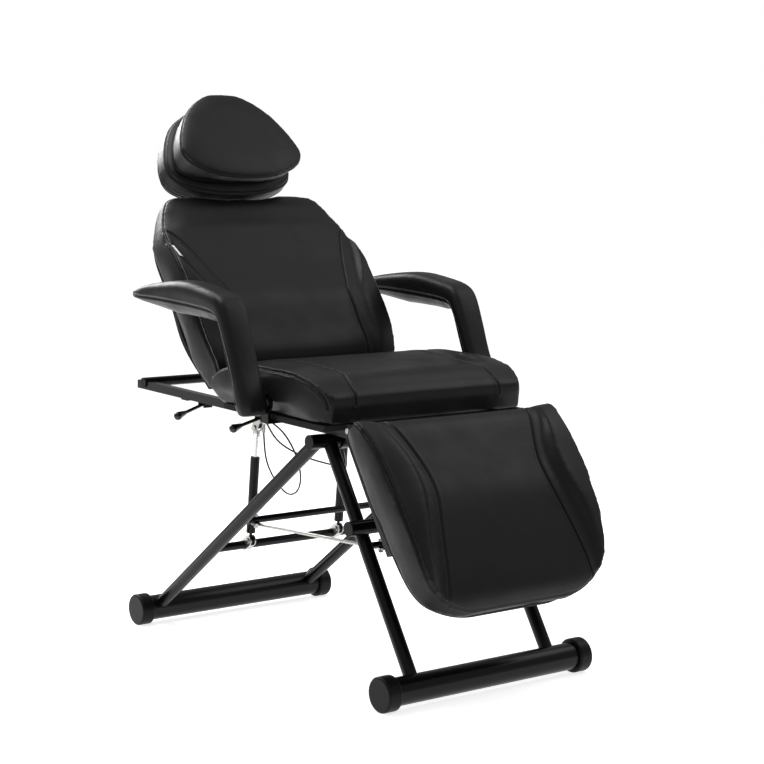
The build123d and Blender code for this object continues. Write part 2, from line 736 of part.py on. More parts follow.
# Backrest cushion: high wings beside a waisted centre panel, on a plywood board
back_length = back_end - back_start
back_base = back_plane + board_thickness
back_top_shares = ((0, 0.1), (0.012, 0.62), (0.08, 0.8), (0.187, 0.874), (0.283, 0.942), (0.436, 1),
                   (0.607, 0.932), (0.703, 0.806), (0.815, 0.65), (0.91, 0.602), (0.98, 0.56), (1, 0.3))
back_end_shares = ((0.99, 0), (0, 0))
back_plan_shares = ((0, 0.9), (0.047, 0.921), (0.183, 0.982), (0.289, 1), (0.436, 0.98), (0.65, 0.978),
                    (0.756, 0.965), (0.815, 0.932), (0.91, 0.843), (0.959, 0.775), (0.985, 0.66), (1, 0.42))
back_seam_shares = ((0, 0.632), (0.136, 0.636), (0.255, 0.614), (0.373, 0.6), (0.432, 0.632), (0.536, 0.7),
                    (0.656, 0.779), (0.76, 0.846), (0.8, 0.93))
back_panel_shares = ((0, 0.08), (0.012, 0.57), (0.08, 0.75), (0.187, 0.82), (0.283, 0.895), (0.373, 0.94),
                     (0.432, 0.9), (0.536, 0.806), (0.656, 0.728), (0.76, 0.68), (0.91, 0.57), (1, 0.28))


def board(y0, length, half_width, plan_shares, z0, thickness):
    way = math.copysign(1, length)
    inner_length = length - way * 2 * board_inset
    return plan_prism(y0 + way * board_inset, inner_length, half_width - board_inset, plan_shares, z0,
                      thickness)


back_side = top_prism(back_start, back_length, back_base, back_thickness, back_top_shares, back_end_shares,
                      back_half_width)
back_plan = plan_prism(back_start, back_length, back_half_width, back_plan_shares, back_base, back_thickness)
back_section = front_prism(back_start, back_length, back_half_width, back_base, back_thickness,
                           side_foot_share)
back_nodes["back_cushion"] = sunk_panel(back_side & back_plan & back_section, back_seam_shares,
                                        back_panel_shares, back_start,
                                        back_length, back_half_width, back_base, back_thickness)
back_nodes["back_board"] = board(back_start, back_length, back_half_width, back_plan_shares, back_plane,
                                 board_thickness)
back_nodes["back_cranks"] = back_nodes["back_cranks"] - back_nodes["back_board"]

# Headrest: two posts that slide in clamp guides behind the backrest, a board, a cushion and a pillow
head_nodes = {}
post_radius = post_diameter / 2
post_z = back_plane - seat_gap - post_radius
head_plane = post_z + post_radius
head_length_y = head_end_y - head_start
head_base = back_base
posts = [bar((side * post_x, post_start, post_z), (side * post_x, post_end, post_z), post_radius)
         for side in (-1, 1)]
head_nodes["headrest_posts"] = Compound(children=posts)
guides = []
for side in (-1, 1):
    half = guide_width / 2
    guide = block(side * post_x - half, side * post_x + half, guide_start, guide_end,
                  back_plane - guide_width * guide_height_share, back_plane)
    guide -= bar((side * post_x, guide_start, post_z), (side * post_x, guide_end, post_z),
                 post_radius + running_clearance)
    guides.append(guide)
back_nodes["headrest_guides"] = Compound(children=guides)
guide_bottom = back_plane - guide_width * guide_height_share
guide_middle = (guide_start + guide_end) / 2
knob_points = ((post_x, guide_middle, guide_bottom), (post_x, guide_middle, guide_bottom - knob_height))
stem = bar(knob_points[0], (post_x, guide_middle, guide_bottom - knob_height / 2), lever_diameter / 2)
grip = bar((post_x, guide_middle, guide_bottom - knob_height / 2), knob_points[1], knob_diameter / 2)
back_nodes["headrest_knob"] = stem + grip

def outline_face(y0, length, half_width, shares, z, level):
    height, out, start, end = level
    halves = []
    for side in (-1, 1):
        points = []
        for along, share in shares:
            points.append(Vector(side * half_width * share * out,
                                 y0 + length * (start + (end - start) * along), z))
        halves.append(Spline(*points, tangents=(Vector(side, 0, 0), Vector(-side, 0, 0))))
    return Face(Wire(halves))


def shaped_cushion(y0, length, half_width, shares, z0, thickness, levels):
    faces = [outline_face(y0, length, half_width, shares, z0 + thickness * level[0],
                          level) for level in levels]
    return loft(faces, ruled=True)


head_plan_shares = ((0, 0), (0.018, 0.4), (0.085, 0.761), (0.17, 0.944), (0.266, 1), (0.386, 0.983),
                    (0.568, 0.889), (0.691, 0.794), (0.815, 0.64), (0.93, 0.4), (1, 0))
head_levels = ((0, 0.96, 0.02, 0.98), (0.2, 1, 0, 1), (0.72, 1, 0, 1), (0.9, 0.985, 0.01, 0.99),
               (1, 0.93, 0.05, 0.95))
head_board_levels = ((0, 0.9, 0.06, 0.94), (1, 0.9, 0.06, 0.94))
head_nodes["headrest_cushion"] = shaped_cushion(head_start, head_length_y, head_half_width,
                                                head_plan_shares, head_base,
                                                head_cushion_thickness, head_levels)
head_nodes["headrest_board"] = shaped_cushion(head_start, head_length_y, head_half_width, head_plan_shares,
                                              head_plane,
                                              head_base - head_plane, head_board_levels)

pillow_length = pillow_end - pillow_start
pillow_base = head_base + head_cushion_thickness
pillow_plan_shares = ((0, 0), (0.012, 0.4), (0.05, 0.75), (0.11, 0.94), (0.184, 1), (0.3, 0.97), (0.45, 0.89),
                      (0.6, 0.8), (0.75, 0.66), (0.88, 0.47), (0.97, 0.22), (1, 0))
pillow_levels = ((0, 0.92, 0.05, 0.95), (0.13, 0.98, 0.01, 0.985), (0.54, 1, 0, 1), (0.73, 1, 0.03, 1),
                 (0.88, 0.985, 0.075, 0.995), (0.96, 0.93, 0.12, 0.96), (1, 0.75, 0.25, 0.85))
head_nodes["pillow"] = shaped_cushion(pillow_start, pillow_length, pillow_half_width, pillow_plan_shares,
                                      pillow_base,
                                      pillow_thickness, pillow_levels)

# Leg rest, modelled lying flat in front of the seat
leg_nodes = {}
leg_pivot = (leg_pivot_y, pivot_z)
leg_arm_base = leg_plane - arm_size
leg_arm_start = leg_pivot_y - pivot_eye_radius / 2
leg_arms = [hinged_arm(side, leg_arm_x, leg_pivot_y, leg_arm_start, leg_arm_end,
                       leg_arm_base) for side in (-1, 1)]
half_leg_tube = leg_arm_x - arm_size / 2
leg_tube_y = leg_pivot_y - leg_tube_offset
leg_arms.append(square_tube_x(half_leg_tube, leg_tube_y, leg_arm_base, arm_size, rail_wall))
leg_nodes["leg_rest_frame"] = Compound(children=leg_arms)
leg_zone = tube_zone(leg_tube_y, leg_arm_base, half_leg_tube)
leg_tube_point = (leg_tube_y, leg_arm_base + arm_size / 2)
leg_nodes["leg_rest_crank"] = crank(leg_pivot, leg_tube_point, leg_zone, crank_angle - leg_rest_angle,
                                    crank_radius,
                                    crank_x0, crank_x1, crank_x - link_eye_width / 2)
leg_length = leg_far - leg_near
leg_base = leg_plane + board_thickness
leg_top_shares = ((0, 0.55), (0.03, 0.66), (0.071, 0.74), (0.172, 0.871), (0.329, 0.948), (0.479, 0.995),
                  (0.589, 0.981), (0.717, 0.893), (0.828, 0.78), (0.898, 0.69), (0.96, 0.6), (1, 0.32))
leg_end_shares = ((0.985, 0), (0.01, 0))
leg_plan_shares = ((0, 1), (0.071, 0.989), (0.172, 0.978), (0.329, 0.975), (0.479, 0.96), (0.717, 0.928),
                   (0.828, 0.891), (0.898, 0.826), (0.949, 0.71), (0.985, 0.56), (1, 0.38))
leg_seam_shares = ((0, 0.725), (0.108, 0.663), (0.199, 0.605), (0.311, 0.565), (0.426, 0.562), (0.572, 0.612),
                   (0.68, 0.652), (0.79, 0.685), (1, 0.74))


leg_panel_shares = ((0, 0.5), (0.03, 0.58), (0.1, 0.63), (0.199, 0.67), (0.311, 0.715), (0.426, 0.77),
                    (0.572, 0.745),
                    (0.68, 0.705), (0.79, 0.66), (0.9, 0.6), (0.96, 0.53), (1, 0.28))
leg_side = top_prism(leg_near, leg_length, leg_base, leg_thickness, leg_top_shares, leg_end_shares,
                     leg_half_width)
leg_plan = plan_prism(leg_near, leg_length, leg_half_width, leg_plan_shares, leg_base, leg_thickness)
leg_section = front_prism(leg_near, leg_length, leg_half_width, leg_base, leg_thickness, side_foot_share)
leg_nodes["leg_rest_cushion"] = sunk_panel(leg_side & leg_plan & leg_section, leg_seam_shares,
                                           leg_panel_shares, leg_near,
                                           leg_length, leg_half_width, leg_base, leg_thickness)
leg_board_zone = x_bar(*leg_pivot, pivot_eye_radius + ear_room, -leg_half_width, leg_half_width)
leg_nodes["leg_rest_board"] = board(leg_near, leg_length, leg_half_width, leg_plan_shares, leg_plane,
                                    board_thickness) - leg_board_zone
leg_nodes["leg_rest_crank"] = Part() + leg_nodes["leg_rest_crank"] - leg_nodes["leg_rest_board"]

for group, move in ((back_nodes, raise_backrest), (head_nodes, raise_backrest), (leg_nodes, lower_leg_rest)):
    for name, solid in group.items():
        seat_nodes[name] = move * solid

# Connecting rod from the backrest crank to the leg rest crank, under the apex tube
link_rear = around(back_pivot, crank_radius, crank_angle)
link_front = around(leg_pivot, crank_radius, crank_angle)
link_x0 = crank_x - link_eye_width / 2
link_x1 = crank_x + link_eye_width / 2
link = x_bar(*link_rear, crank_half_width, link_x0, link_x1) + x_bar(*link_front, crank_half_width,
                                                                     link_x0, link_x1)
link += bar((crank_x, *link_front), (crank_x, *link_rear), link_rod_diameter / 2)
link -= x_bar(*link_rear, crank_pin_diameter / 2 + running_clearance, link_x0 - overrun, link_x1 + overrun)
link -= x_bar(*link_front, crank_pin_diameter / 2 + face_gap, link_x0 - overrun, link_x1 + overrun)
seat_nodes["connecting_rod"] = link

# Backrest gas spring under the seat
back_anchor = (back_spring_anchor_y, back_spring_anchor_z)
rest_tip = around(back_pivot, back_spring_crank, crank_angle)
eye_point = (rest_tip[0], rest_tip[1] - back_eye_drop)
back_spring_foot = Vector(back_spring_x, *back_anchor)
back_spring_way = (Vector(back_spring_x, *eye_point) - back_spring_foot).normalized()
back_spring_reach = (Vector(back_spring_x, *eye_point) - back_spring_foot).length


def back_spring_part(along, until, radius):
    return bar(back_spring_foot + back_spring_way * along, back_spring_foot + back_spring_way * until, radius)


eye_x0 = back_spring_x - link_eye_width / 2
eye_x1 = back_spring_x + link_eye_width / 2
back_bore_radius = back_cylinder_diameter / 2 - cylinder_wall
back_cylinder_end = cylinder_foot + back_cylinder_length
back_cylinder = x_bar(*back_anchor, eye_radius, eye_x0, eye_x1) + back_spring_part(0, cylinder_foot,
    neck_diameter / 2)
back_cylinder += back_spring_part(cylinder_foot, back_cylinder_end, back_cylinder_diameter / 2)
back_cylinder -= back_spring_part(cylinder_foot + eye_width, back_cylinder_end - eye_width, back_bore_radius)
back_cylinder -= back_spring_part(back_cylinder_end - eye_width, back_cylinder_end,
                                  back_rod_diameter / 2 + running_clearance)
back_cylinder -= x_bar(*back_anchor, spring_pin_diameter / 2, eye_x0, eye_x1)
seat_nodes["back_spring_cylinder"] = back_cylinder
back_piston_start = back_cylinder_end - piston_length - back_piston_depth
back_rod = back_spring_part(back_piston_start, back_piston_start + piston_length,
                            back_bore_radius - running_clearance)
back_rod += back_spring_part(back_piston_start, back_spring_reach, back_rod_diameter / 2)
back_rod += x_bar(*eye_point, back_eye_radius, eye_x0, eye_x1)
back_rod -= x_bar(*eye_point, back_eye_bore / 2, eye_x0 - overrun, eye_x1 + overrun)
seat_nodes["back_spring_rod"] = back_rod

# Lug that carries the backrest spring on the middle cross tube
lug_face = middle_tube_y + rail_size / 2
lug_plates = []
for side in (-1, 1):
    inner = back_spring_x + side * (link_eye_width / 2 + seat_gap)
    edges = sorted((inner, inner + side * fork_cheek))
    plate = side_plate(strap_outline(back_anchor, (lug_face, back_spring_anchor_z), eye_radius), *edges)
    plate -= block(*edges, lug_face - rail_size, lug_face, rail_base - rail_size, rail_top + rail_size)
    lug_plates.append(plate)
lug = lug_plates[0] + lug_plates[1]
lug_pin_edges = (back_spring_x - link_eye_width / 2 - seat_gap - fork_cheek,
                 back_spring_x + link_eye_width / 2 + seat_gap + fork_cheek)
lug += x_bar(*back_anchor, spring_pin_diameter / 2, *lug_pin_edges)
seat_nodes["back_spring_lug"] = lug

# Armrests: a steel strip core with a hub, inside an upholstered body that swings on a stud
armrest_pivot = (armrest_foot_y, armrest_foot_z)
armrest_width = armrest_outer_x - armrest_inner_x
armrest_section_shares = (((0.035, -0.03), (0.085, -0.04), 0.8), ((0.02, 0.06), (0.115, 0.05), 0.97),
                          ((0.042, 0.16), (0.128, 0.15), 1), ((0.085, 0.294), (0.15, 0.285), 1),
                          ((0.149, 0.58), (0.209, 0.565), 1), ((0.19, 0.771), (0.252, 0.733), 1),
                          ((0.225, 0.889), (0.277, 0.771), 1), ((0.331, 0.966), (0.345, 0.794), 1),
                          ((0.481, 1), (0.481, 0.805), 1), ((0.659, 0.985), (0.659, 0.802), 1),
                          ((0.814, 0.939), (0.814, 0.798), 0.97), ((0.93, 0.882), (0.93, 0.794), 0.86),
                          ((0.992, 0.84), (0.992, 0.813), 0.5))


def armrest_place(share):
    y = armrest_low_y + (armrest_tip_y - armrest_low_y) * share[0]
    z = armrest_low_z + (armrest_top_z - armrest_low_z) * share[1]
    return Vector(0, y, z)


def armrest_section(first_share, second_share, width_share):
    first = armrest_place(first_share)
    second = armrest_place(second_share)
    height = (second - first).length
    way = (second - first).normalized()
    plane = Plane(Vector(core_x, 0, 0) + (first + second) / 2, x_dir=(1, 0, 0),
                  z_dir=Vector(1, 0, 0).cross(way))
    return plane * RectangleRounded(armrest_width * width_share, height, height * armrest_round_share)


core_x = armrest_inner_x + armrest_width / 2
core_knee = (armrest_knee_y + armrest_core_drop / 2, armrest_knee_z - armrest_core_drop)
core_elbow = (armrest_foot_y + armrest_core_lean, armrest_foot_z + armrest_recess_radius)
core_path = Polyline(armrest_pivot, core_elbow, core_knee, (armrest_core_end, armrest_core_end_z))
core_face = trace(core_path, armrest_core_width)
hub_inner = armrest_inner_x + armrest_bracket_thickness + face_gap
core_x0 = core_x - armrest_core_thickness / 2
core_x1 = core_x + armrest_core_thickness / 2
pad_solid = loft([armrest_section(*shares) for shares in armrest_section_shares])
pad_solid -= x_bar(*armrest_pivot, armrest_recess_radius, armrest_inner_x - overrun, hub_inner)
core_solid = side_plate(core_face, core_x0, core_x1) + x_bar(*armrest_pivot, armrest_hub_diameter / 2,
                                                             hub_inner, core_x1)
pad_solid -= core_solid
pad_solid -= x_bar(*armrest_pivot, armrest_hub_diameter / 2, hub_inner, core_x1)
core_solid -= x_bar(*armrest_pivot, armrest_pivot_diameter / 2 + running_clearance, armrest_inner_x, core_x1)
for side, side_name in ((-1, "right"), (1, "left")):
    pad = pad_solid if side == 1 else mirror(pad_solid, about=Plane.YZ)
    core = core_solid if side == 1 else mirror(core_solid, about=Plane.YZ)
    seat_nodes["armrest_pad_" + side_name] = pad
    seat_nodes["armrest_core_" + side_name] = core
disc_x0 = seat_half_width + seat_gap
disc_x1 = armrest_inner_x + armrest_bracket_thickness
disc_radius = armrest_disc_diameter / 2
disc = x_bar(*armrest_pivot, disc_radius, disc_x0, disc_x1)
neck_y = disc_radius * armrest_neck_share
support_base = rail_top - armrest_support_drop
disc += block(disc_x0, disc_x1, armrest_foot_y - neck_y, armrest_foot_y + neck_y, support_base,
              armrest_foot_z)
support = block(rail_outer_x, disc_x1, armrest_foot_y - neck_y, armrest_foot_y + neck_y, support_base,
                rail_top)
stud = x_bar(*armrest_pivot, armrest_pivot_diameter / 2, disc_x0, core_x1 - face_gap)
bracket = disc + support + stud
seat_nodes["armrest_brackets"] = Compound(children=[bracket, mirror(bracket, about=Plane.YZ)])

# Release levers under the right rail, each with a teardrop knob, on a U bracket
lever_brackets = []
for lever_name, root, tip, plate_z in (("front", front_lever_root, front_lever_tip, rail_top),
                                       ("rear", rear_lever_root, rear_lever_tip, rail_base)):
    root_point = Vector(-lever_root_x, *root)
    tip_point = Vector(-lever_tip_x, *tip)
    way = (tip_point - root_point).normalized()
    half_hub = lever_hub_length / 2
    hub = bar((-lever_root_x, root[0] - half_hub, root[1]), (-lever_root_x, root[0] + half_hub, root[1]),
              lever_hub_diameter / 2)
    knob_start = tip_point - way * (knob_length / 2)
    knob_end = tip_point + way * (knob_length / 2 - lever_knob_diameter / 2)
    arm = bar(root_point, knob_start, lever_diameter / 2)
    bore_start = (-lever_root_x, root[0] - lever_hub_length, root[1])
    bore_end = (-lever_root_x, root[0] + lever_hub_length, root[1])
    lever = hub + arm - bar(bore_start, bore_end, lever_pin_diameter / 2 + running_clearance)
    seat_nodes[lever_name + "_lever"] = lever
    taper = Solid.make_cone(lever_neck_diameter / 2, lever_knob_diameter / 2,
                            (knob_end - knob_start).length, Plane(knob_start, z_dir=way))
    seat_nodes[lever_name + "_knob"] = Part() + taper + Pos(*knob_end) * Sphere(lever_knob_diameter / 2)
    cheek_z0 = root[1] - lever_hub_diameter / 2
    half_plate = lever_hub_diameter / 2 + lever_bracket_thickness
    inner_y = half_hub + seat_gap
    outer_y = inner_y + lever_bracket_thickness
    plate_x0 = -lever_root_x - half_plate
    if plate_z == rail_base:
        plate_x0 = -rail_outer_x
    saddle = block(plate_x0, -lever_root_x + half_plate, root[0] - outer_y, root[0] + outer_y,
                   plate_z - lever_bracket_thickness, plate_z)
    for way_y in (-1, 1):
        edges = sorted((root[0] + way_y * inner_y, root[0] + way_y * outer_y))
        saddle += block(-lever_root_x - half_plate, -lever_root_x + half_plate, *edges, cheek_z0, plate_z)
    pin_start = (-lever_root_x, root[0] - outer_y, root[1])
    pin_end = (-lever_root_x, root[0] + outer_y, root[1])
    saddle += bar(pin_start, pin_end, lever_pin_diameter / 2)
    lever_brackets.append(saddle)
seat_nodes["lever_brackets"] = Compound(children=lever_brackets)

# Release cables from the front lever bracket to the two gas spring heads, in the seat frame
right_cable_route = ((-113, 366, -42), (-115, 359, -80), (-118, 343, -112), (-120, 314, -139),
                     (-122, 281, -158),
                     (-124, 250, -168), (-126, 222, -164), (-128, 199, -149), (-131, 186, -122), (-133,
                         190, -93),
                     (-135, 206, -62), (-138, 232, -33), (-142, 262, -13), (-144, 290, -4))
left_cable_route = ((-156, 290, -6), (-146, 285, -30), (-130, 270, -54), (-108, 243, -72), (-80, 214, -86),
                    (-44, 206, -97), (-8, 214, -108), (26, 236, -118), (56, 266, -122), (82, 300, -118),
                    (100, 332, -104), (110, 355, -78), (113, 366, -42))


def cable(route):
    points = [Vector(*point) for point in route]
    radii = []
    for before, corner, after in zip(points, points[1:], points[2:]):
        first = corner - before
        second = after - corner
        half_turn = math.radians(first.get_angle(second)) / 2
        radii.append(cable_arc_share * min(first.length, second.length) / math.tan(half_turn))
    path = FilletPolyline(*points, radius=radii)
    start = Plane(points[0], z_dir=path % 0)
    return sweep(start * Circle(cable_diameter / 2), path=path)


right_cable = cable(right_cable_route)
left_cable = cable(left_cable_route)
seat_nodes["release_cables"] = Compound(children=[right_cable, left_cable])
ferrules = []
for side in (-1, 1):
    end = Vector(*right_cable_route[0])
    x = side * (spring_x - cheek_outer - cable_tab_reach / 2)
    ferrules.append(bar((side * abs(end.X), end.Y, end.Z), (side * abs(end.X), end.Y, cable_tab_z),
                        ferrule_diameter / 2))
cable_face = front_lever_root[0] - lever_hub_length / 2 - seat_gap - lever_bracket_thickness
for route, index in ((right_cable_route, -1), (left_cable_route, 0)):
    x, y, z = route[index]
    ferrules.append(bar((x, y, z), (x, cable_face, z), cable_ferrule_diameter / 2))
seat_nodes["cable_ferrules"] = Compound(children=ferrules)

for name, solid in seat_nodes.items():
    nodes[name] = to_seat_frame * solid

os.makedirs("parts", exist_ok=True)
for name, solid in nodes.items():
    export_step(solid, "parts/" + name + ".step")
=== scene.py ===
import json
import math

import bmesh
import bpy
import numpy
from mathutils import Matrix, Vector
from mathutils.bvhtree import BVHTree
from mathutils.kdtree import KDTree


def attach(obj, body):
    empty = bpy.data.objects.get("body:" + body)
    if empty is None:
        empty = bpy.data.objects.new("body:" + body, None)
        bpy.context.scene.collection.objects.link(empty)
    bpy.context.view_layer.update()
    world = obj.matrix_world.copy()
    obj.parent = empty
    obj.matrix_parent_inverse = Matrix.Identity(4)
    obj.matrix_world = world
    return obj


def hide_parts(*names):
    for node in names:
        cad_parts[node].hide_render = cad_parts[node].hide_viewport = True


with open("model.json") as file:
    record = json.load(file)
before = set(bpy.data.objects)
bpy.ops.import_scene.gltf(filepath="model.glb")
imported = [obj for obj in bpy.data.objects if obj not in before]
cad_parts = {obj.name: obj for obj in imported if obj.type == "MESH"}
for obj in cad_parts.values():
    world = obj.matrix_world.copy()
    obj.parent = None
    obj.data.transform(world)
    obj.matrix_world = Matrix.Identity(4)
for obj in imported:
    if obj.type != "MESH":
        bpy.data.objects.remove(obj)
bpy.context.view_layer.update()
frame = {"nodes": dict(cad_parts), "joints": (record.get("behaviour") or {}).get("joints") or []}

# Camera: stands off the sitter's front right corner, a little above the backrest, tilted slightly down.
camera = bpy.data.objects.new("camera", bpy.data.cameras.new("camera"))
bpy.context.scene.collection.objects.link(camera)
camera.data.lens = 89.04
camera.data.sensor_width = 36
camera.location = (-2.57731, -3.49031, 1.08165)
camera.rotation_euler = (math.radians(90 - 6.0755), 0, math.radians(-37.6047))
bpy.context.scene.camera = camera
bpy.context.scene.view_settings.view_transform = "Standard"


# Release cables: two Bowden cables, steel wire in a black PVC sheath 4 mm across. They leave the front
# release lever and hang in loose loops under the seat, to ferrules on the forks of the two tilt gas springs.
joint_place = {joint["name"]: Vector(joint["pos_m"]) for joint in frame["joints"] if "pos_m" in joint}
seat_joint = joint_place["seat_tilt"]
seat_slope = 2.2
seat_turn = Matrix.Rotation(math.radians(seat_slope), 4, "X")


def on_seat(x, y, z):
    """Millimetres in the seat frame, as if it lay level, to metres on the standing chair."""
    return seat_joint + seat_turn @ (Vector((x, y, z)) / 1000)


def paint(code):
    channels = [int(code[i:i + 2], 16) / 255 for i in (1, 3, 5)]
    linear = [c / 12.92 if c <= 0.04045 else ((c + 0.055) / 1.055) ** 2.4 for c in channels]
    return (*linear, 1)


def add_node(material, kind, inputs=(), **settings):
    node = material.node_tree.nodes.new(kind)
    for key, value in settings.items():
        setattr(node, key, value)
    for key, value in dict(inputs).items():
        if isinstance(value, bpy.types.NodeSocket):
            material.node_tree.links.new(value, node.inputs[key])
        else:
            node.inputs[key].default_value = value
    return node


def new_finish(name, surface):
    material = bpy.data.materials.new(name)
    material.use_nodes = True
    material.node_tree.nodes.clear()
    shader = add_node(material, "ShaderNodeBsdfPrincipled", surface)
    add_node(material, "ShaderNodeOutputMaterial", {"Surface": shader.outputs[0]})
    place = add_node(material, "ShaderNodeTexCoord").outputs["Object"]
    return material, shader, place


# Extruded PVC sheath: satin black, with the faint waviness that the liner coil leaves every 3 mm
cable_sheath, shader, place = new_finish("extruded_pvc_sheath", {"Base Color": paint("#161617"),
                                                                 "Roughness": 0.42})
waves = add_node(cable_sheath, "ShaderNodeTexNoise", {"Vector": place, "Scale": 300.0, "Detail": 2.0})
bump = add_node(cable_sheath, "ShaderNodeBump", {"Height": waves.outputs[0], "Strength": 0.2,
                                                 "Distance": 0.0003})
cable_sheath.node_tree.links.new(bump.outputs[0], shader.inputs["Normal"])

cable_routes = {
    "release_cable_right": ((-113, 366, -42), (-115, 359, -80), (-118, 343, -112), (-120, 314, -139),
                            (-122, 281, -158), (-124, 250, -168), (-126, 222, -164), (-128, 199, -149),
                            (-131, 186, -122), (-133, 190, -93), (-135, 206, -62), (-138, 232, -33),
                            (-142, 262, -13), (-144, 290, -4)),
    "release_cable_left": ((-156, 290, -6), (-146, 285, -30), (-130, 270, -54), (-108, 243, -72),
                           (-80, 214, -86), (-44, 206, -97), (-8, 214, -108), (26, 236, -118),
                           (56, 266, -122), (82, 300, -118), (100, 332, -104), (110, 355, -78),
                           (113, 366, -42)),
}
cable_diameter = 0.004
for (name, route), length in zip(cable_routes.items(), (0.436, 0.454)):
    line = bpy.data.curves.new(name, "CURVE")
    line.dimensions = "3D"
    line.bevel_depth = cable_diameter / 2
    line.bevel_resolution = 3
    line.use_fill_caps = True
    spline = line.splines.new("NURBS")
    spline.points.add(len(route) - 1)
    for point, corner in zip(spline.points, route):
        point.co = (*on_seat(*corner), 1)
    spline.order_u = 3
    spline.use_endpoint_u = True
    spline.resolution_u = 8
    cable = bpy.data.objects.new(name, line)
    bpy.context.scene.collection.objects.link(cable)
    line.materials.append(cable_sheath)
    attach(cable, "seat_frame")
    if name == "release_cable_right":
        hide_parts("release_cables")


# Floor and studio: a seamless white floor that the camera sees as plain white, and four soft lamps.
floor_mesh = bmesh.new()
floor_half_width = 20
bmesh.ops.create_grid(floor_mesh, x_segments=1, y_segments=1, size=floor_half_width)
floor_data = bpy.data.meshes.new("floor")
floor_mesh.to_mesh(floor_data)
floor_mesh.free()
floor = bpy.data.objects.new("floor", floor_data)
bpy.context.scene.collection.objects.link(floor)
# Matt white paper: a little of its own light, for the camera and for reflections alone, lifts it to plain
# white, and leaves the chair's shadow
floor_paper, shader, place = new_finish("matt_white_paper", {"Base Color": paint("#f4f4f4"), "Roughness": 0.9,
                                                             "Emission Color": (1, 1, 1, 1)})
ray = add_node(floor_paper, "ShaderNodeLightPath")
seen = add_node(floor_paper, "ShaderNodeMath", {0: ray.outputs["Is Camera Ray"],
                                                1: ray.outputs["Is Glossy Ray"]}, operation="MAXIMUM")
paper_glow = 0.75
glow = add_node(floor_paper, "ShaderNodeMath", {0: seen.outputs[0], 1: paper_glow}, operation="MULTIPLY")
floor_paper.node_tree.links.new(glow.outputs[0], shader.inputs["Emission Strength"])
floor_data.materials.append(floor_paper)

world = bpy.data.worlds.new("studio")
bpy.context.scene.world = world
world.use_nodes = True
world.node_tree.nodes.clear()
sky = world.node_tree.nodes.new("ShaderNodeBackground")
sky.inputs[0].default_value = (1, 1, 1, 1)
studio_fill = 0.38
sky.inputs[1].default_value = studio_fill
seen = world.node_tree.nodes.new("ShaderNodeBackground")
seen.inputs[0].default_value = (1, 1, 1, 1)
seen.inputs[1].default_value = 1.0
ray = world.node_tree.nodes.new("ShaderNodeLightPath")
mix = world.node_tree.nodes.new("ShaderNodeMixShader")
out = world.node_tree.nodes.new("ShaderNodeOutputWorld")
world.node_tree.links.new(ray.outputs["Is Camera Ray"], mix.inputs[0])
world.node_tree.links.new(sky.outputs[0], mix.inputs[1])
world.node_tree.links.new(seen.outputs[0], mix.inputs[2])
world.node_tree.links.new(mix.outputs[0], out.inputs[0])

for name, place_at, aim, size, power in (
        ("side_lamp", (-2.6, -0.6, 2.4), (0, 0, 0.7), 1.4, 3),
        ("front_lamp", (1.7, -0.9, 2.6), (0, -0.1, 0.7), 1.7, 15),
        ("top_lamp", (-0.35, 0.5, 2.9), (0, 0.1, 0.8), 1.2, 30),
        ("back_lamp", (-0.2, 2.7, 2.1), (0, 0.1, 0.8), 1.3, 70)):
    lamp = bpy.data.objects.new(name, bpy.data.lights.new(name, "AREA"))
    lamp.data.size = size
    lamp.data.energy = power
    lamp.location = place_at
    lamp.rotation_euler = (Vector(aim) - Vector(place_at)).to_track_quat("-Z", "Y").to_euler()
    bpy.context.scene.collection.objects.link(lamp)


# Steel frame: round and square tubes, welded, then coated together in gloss black epoxy powder.
# It is the A-frame base, the seat frame, the backrest and leg rest frames, the cranks and both levers.
def coat(finish, *nodes):
    for node in nodes:
        frame["nodes"][node].data.materials.clear()
        frame["nodes"][node].data.materials.append(finish)


powder_coat, shader, place = new_finish("gloss_black_powder_coat", {"Base Color": paint("#0c0c0d"),
                                                                    "Roughness": 0.26,
                                                                    "Specular IOR Level": 0.2})
# Powder flows out into low, smooth ripples about 4 mm apart that wrinkle a reflection's edge
peel = add_node(powder_coat, "ShaderNodeTexNoise", {"Vector": place, "Scale": 260.0, "Detail": 2.0,
                                                    "Roughness": 0.4})
bump = add_node(powder_coat, "ShaderNodeBump", {"Height": peel.outputs[0], "Strength": 0.12,
                                                "Distance": 0.0005})
powder_coat.node_tree.links.new(bump.outputs[0], shader.inputs["Normal"])
coat(powder_coat, "front_foot_tube", "rear_foot_tube", "front_legs", "rear_legs", "apex_tube",
     "front_stretcher", "front_tie_bar", "upper_crossbar", "lower_crossbar", "seat_rails", "rear_cross_tube",
     "seat_cross_tubes", "pivot_sleeves", "pivot_ears", "back_spring_lug", "back_spring_cylinder",
     "armrest_brackets", "lever_brackets", "spring_cylinder_left", "spring_cylinder_right", "back_frame",
     "back_cranks", "headrest_posts", "leg_rest_frame", "leg_rest_crank", "connecting_rod", "front_lever",
     "rear_lever")


# End caps, plugs and headrest guides: moulded black polypropylene. The caps are pushed over the foot
# tubes, the plugs into the open tube ends.
moulded_plastic, shader, place = new_finish("moulded_polypropylene", {"Base Color": paint("#0f0f10"),
                                                                      "Roughness": 0.4,
                                                                      "Specular IOR Level": 0.15})
# The mould's eroded texture breaks up the shine. It is drawn 2 mm coarse so that it shows.
texture = add_node(moulded_plastic, "ShaderNodeTexNoise", {"Vector": place, "Scale": 500.0, "Detail": 3.0})
bump = add_node(moulded_plastic, "ShaderNodeBump", {"Height": texture.outputs[0], "Strength": 0.25,
                                                    "Distance": 0.0003})
moulded_plastic.node_tree.links.new(bump.outputs[0], shader.inputs["Normal"])
coat(moulded_plastic, "foot_caps", "tube_plugs", "frame_plugs", "headrest_guides")


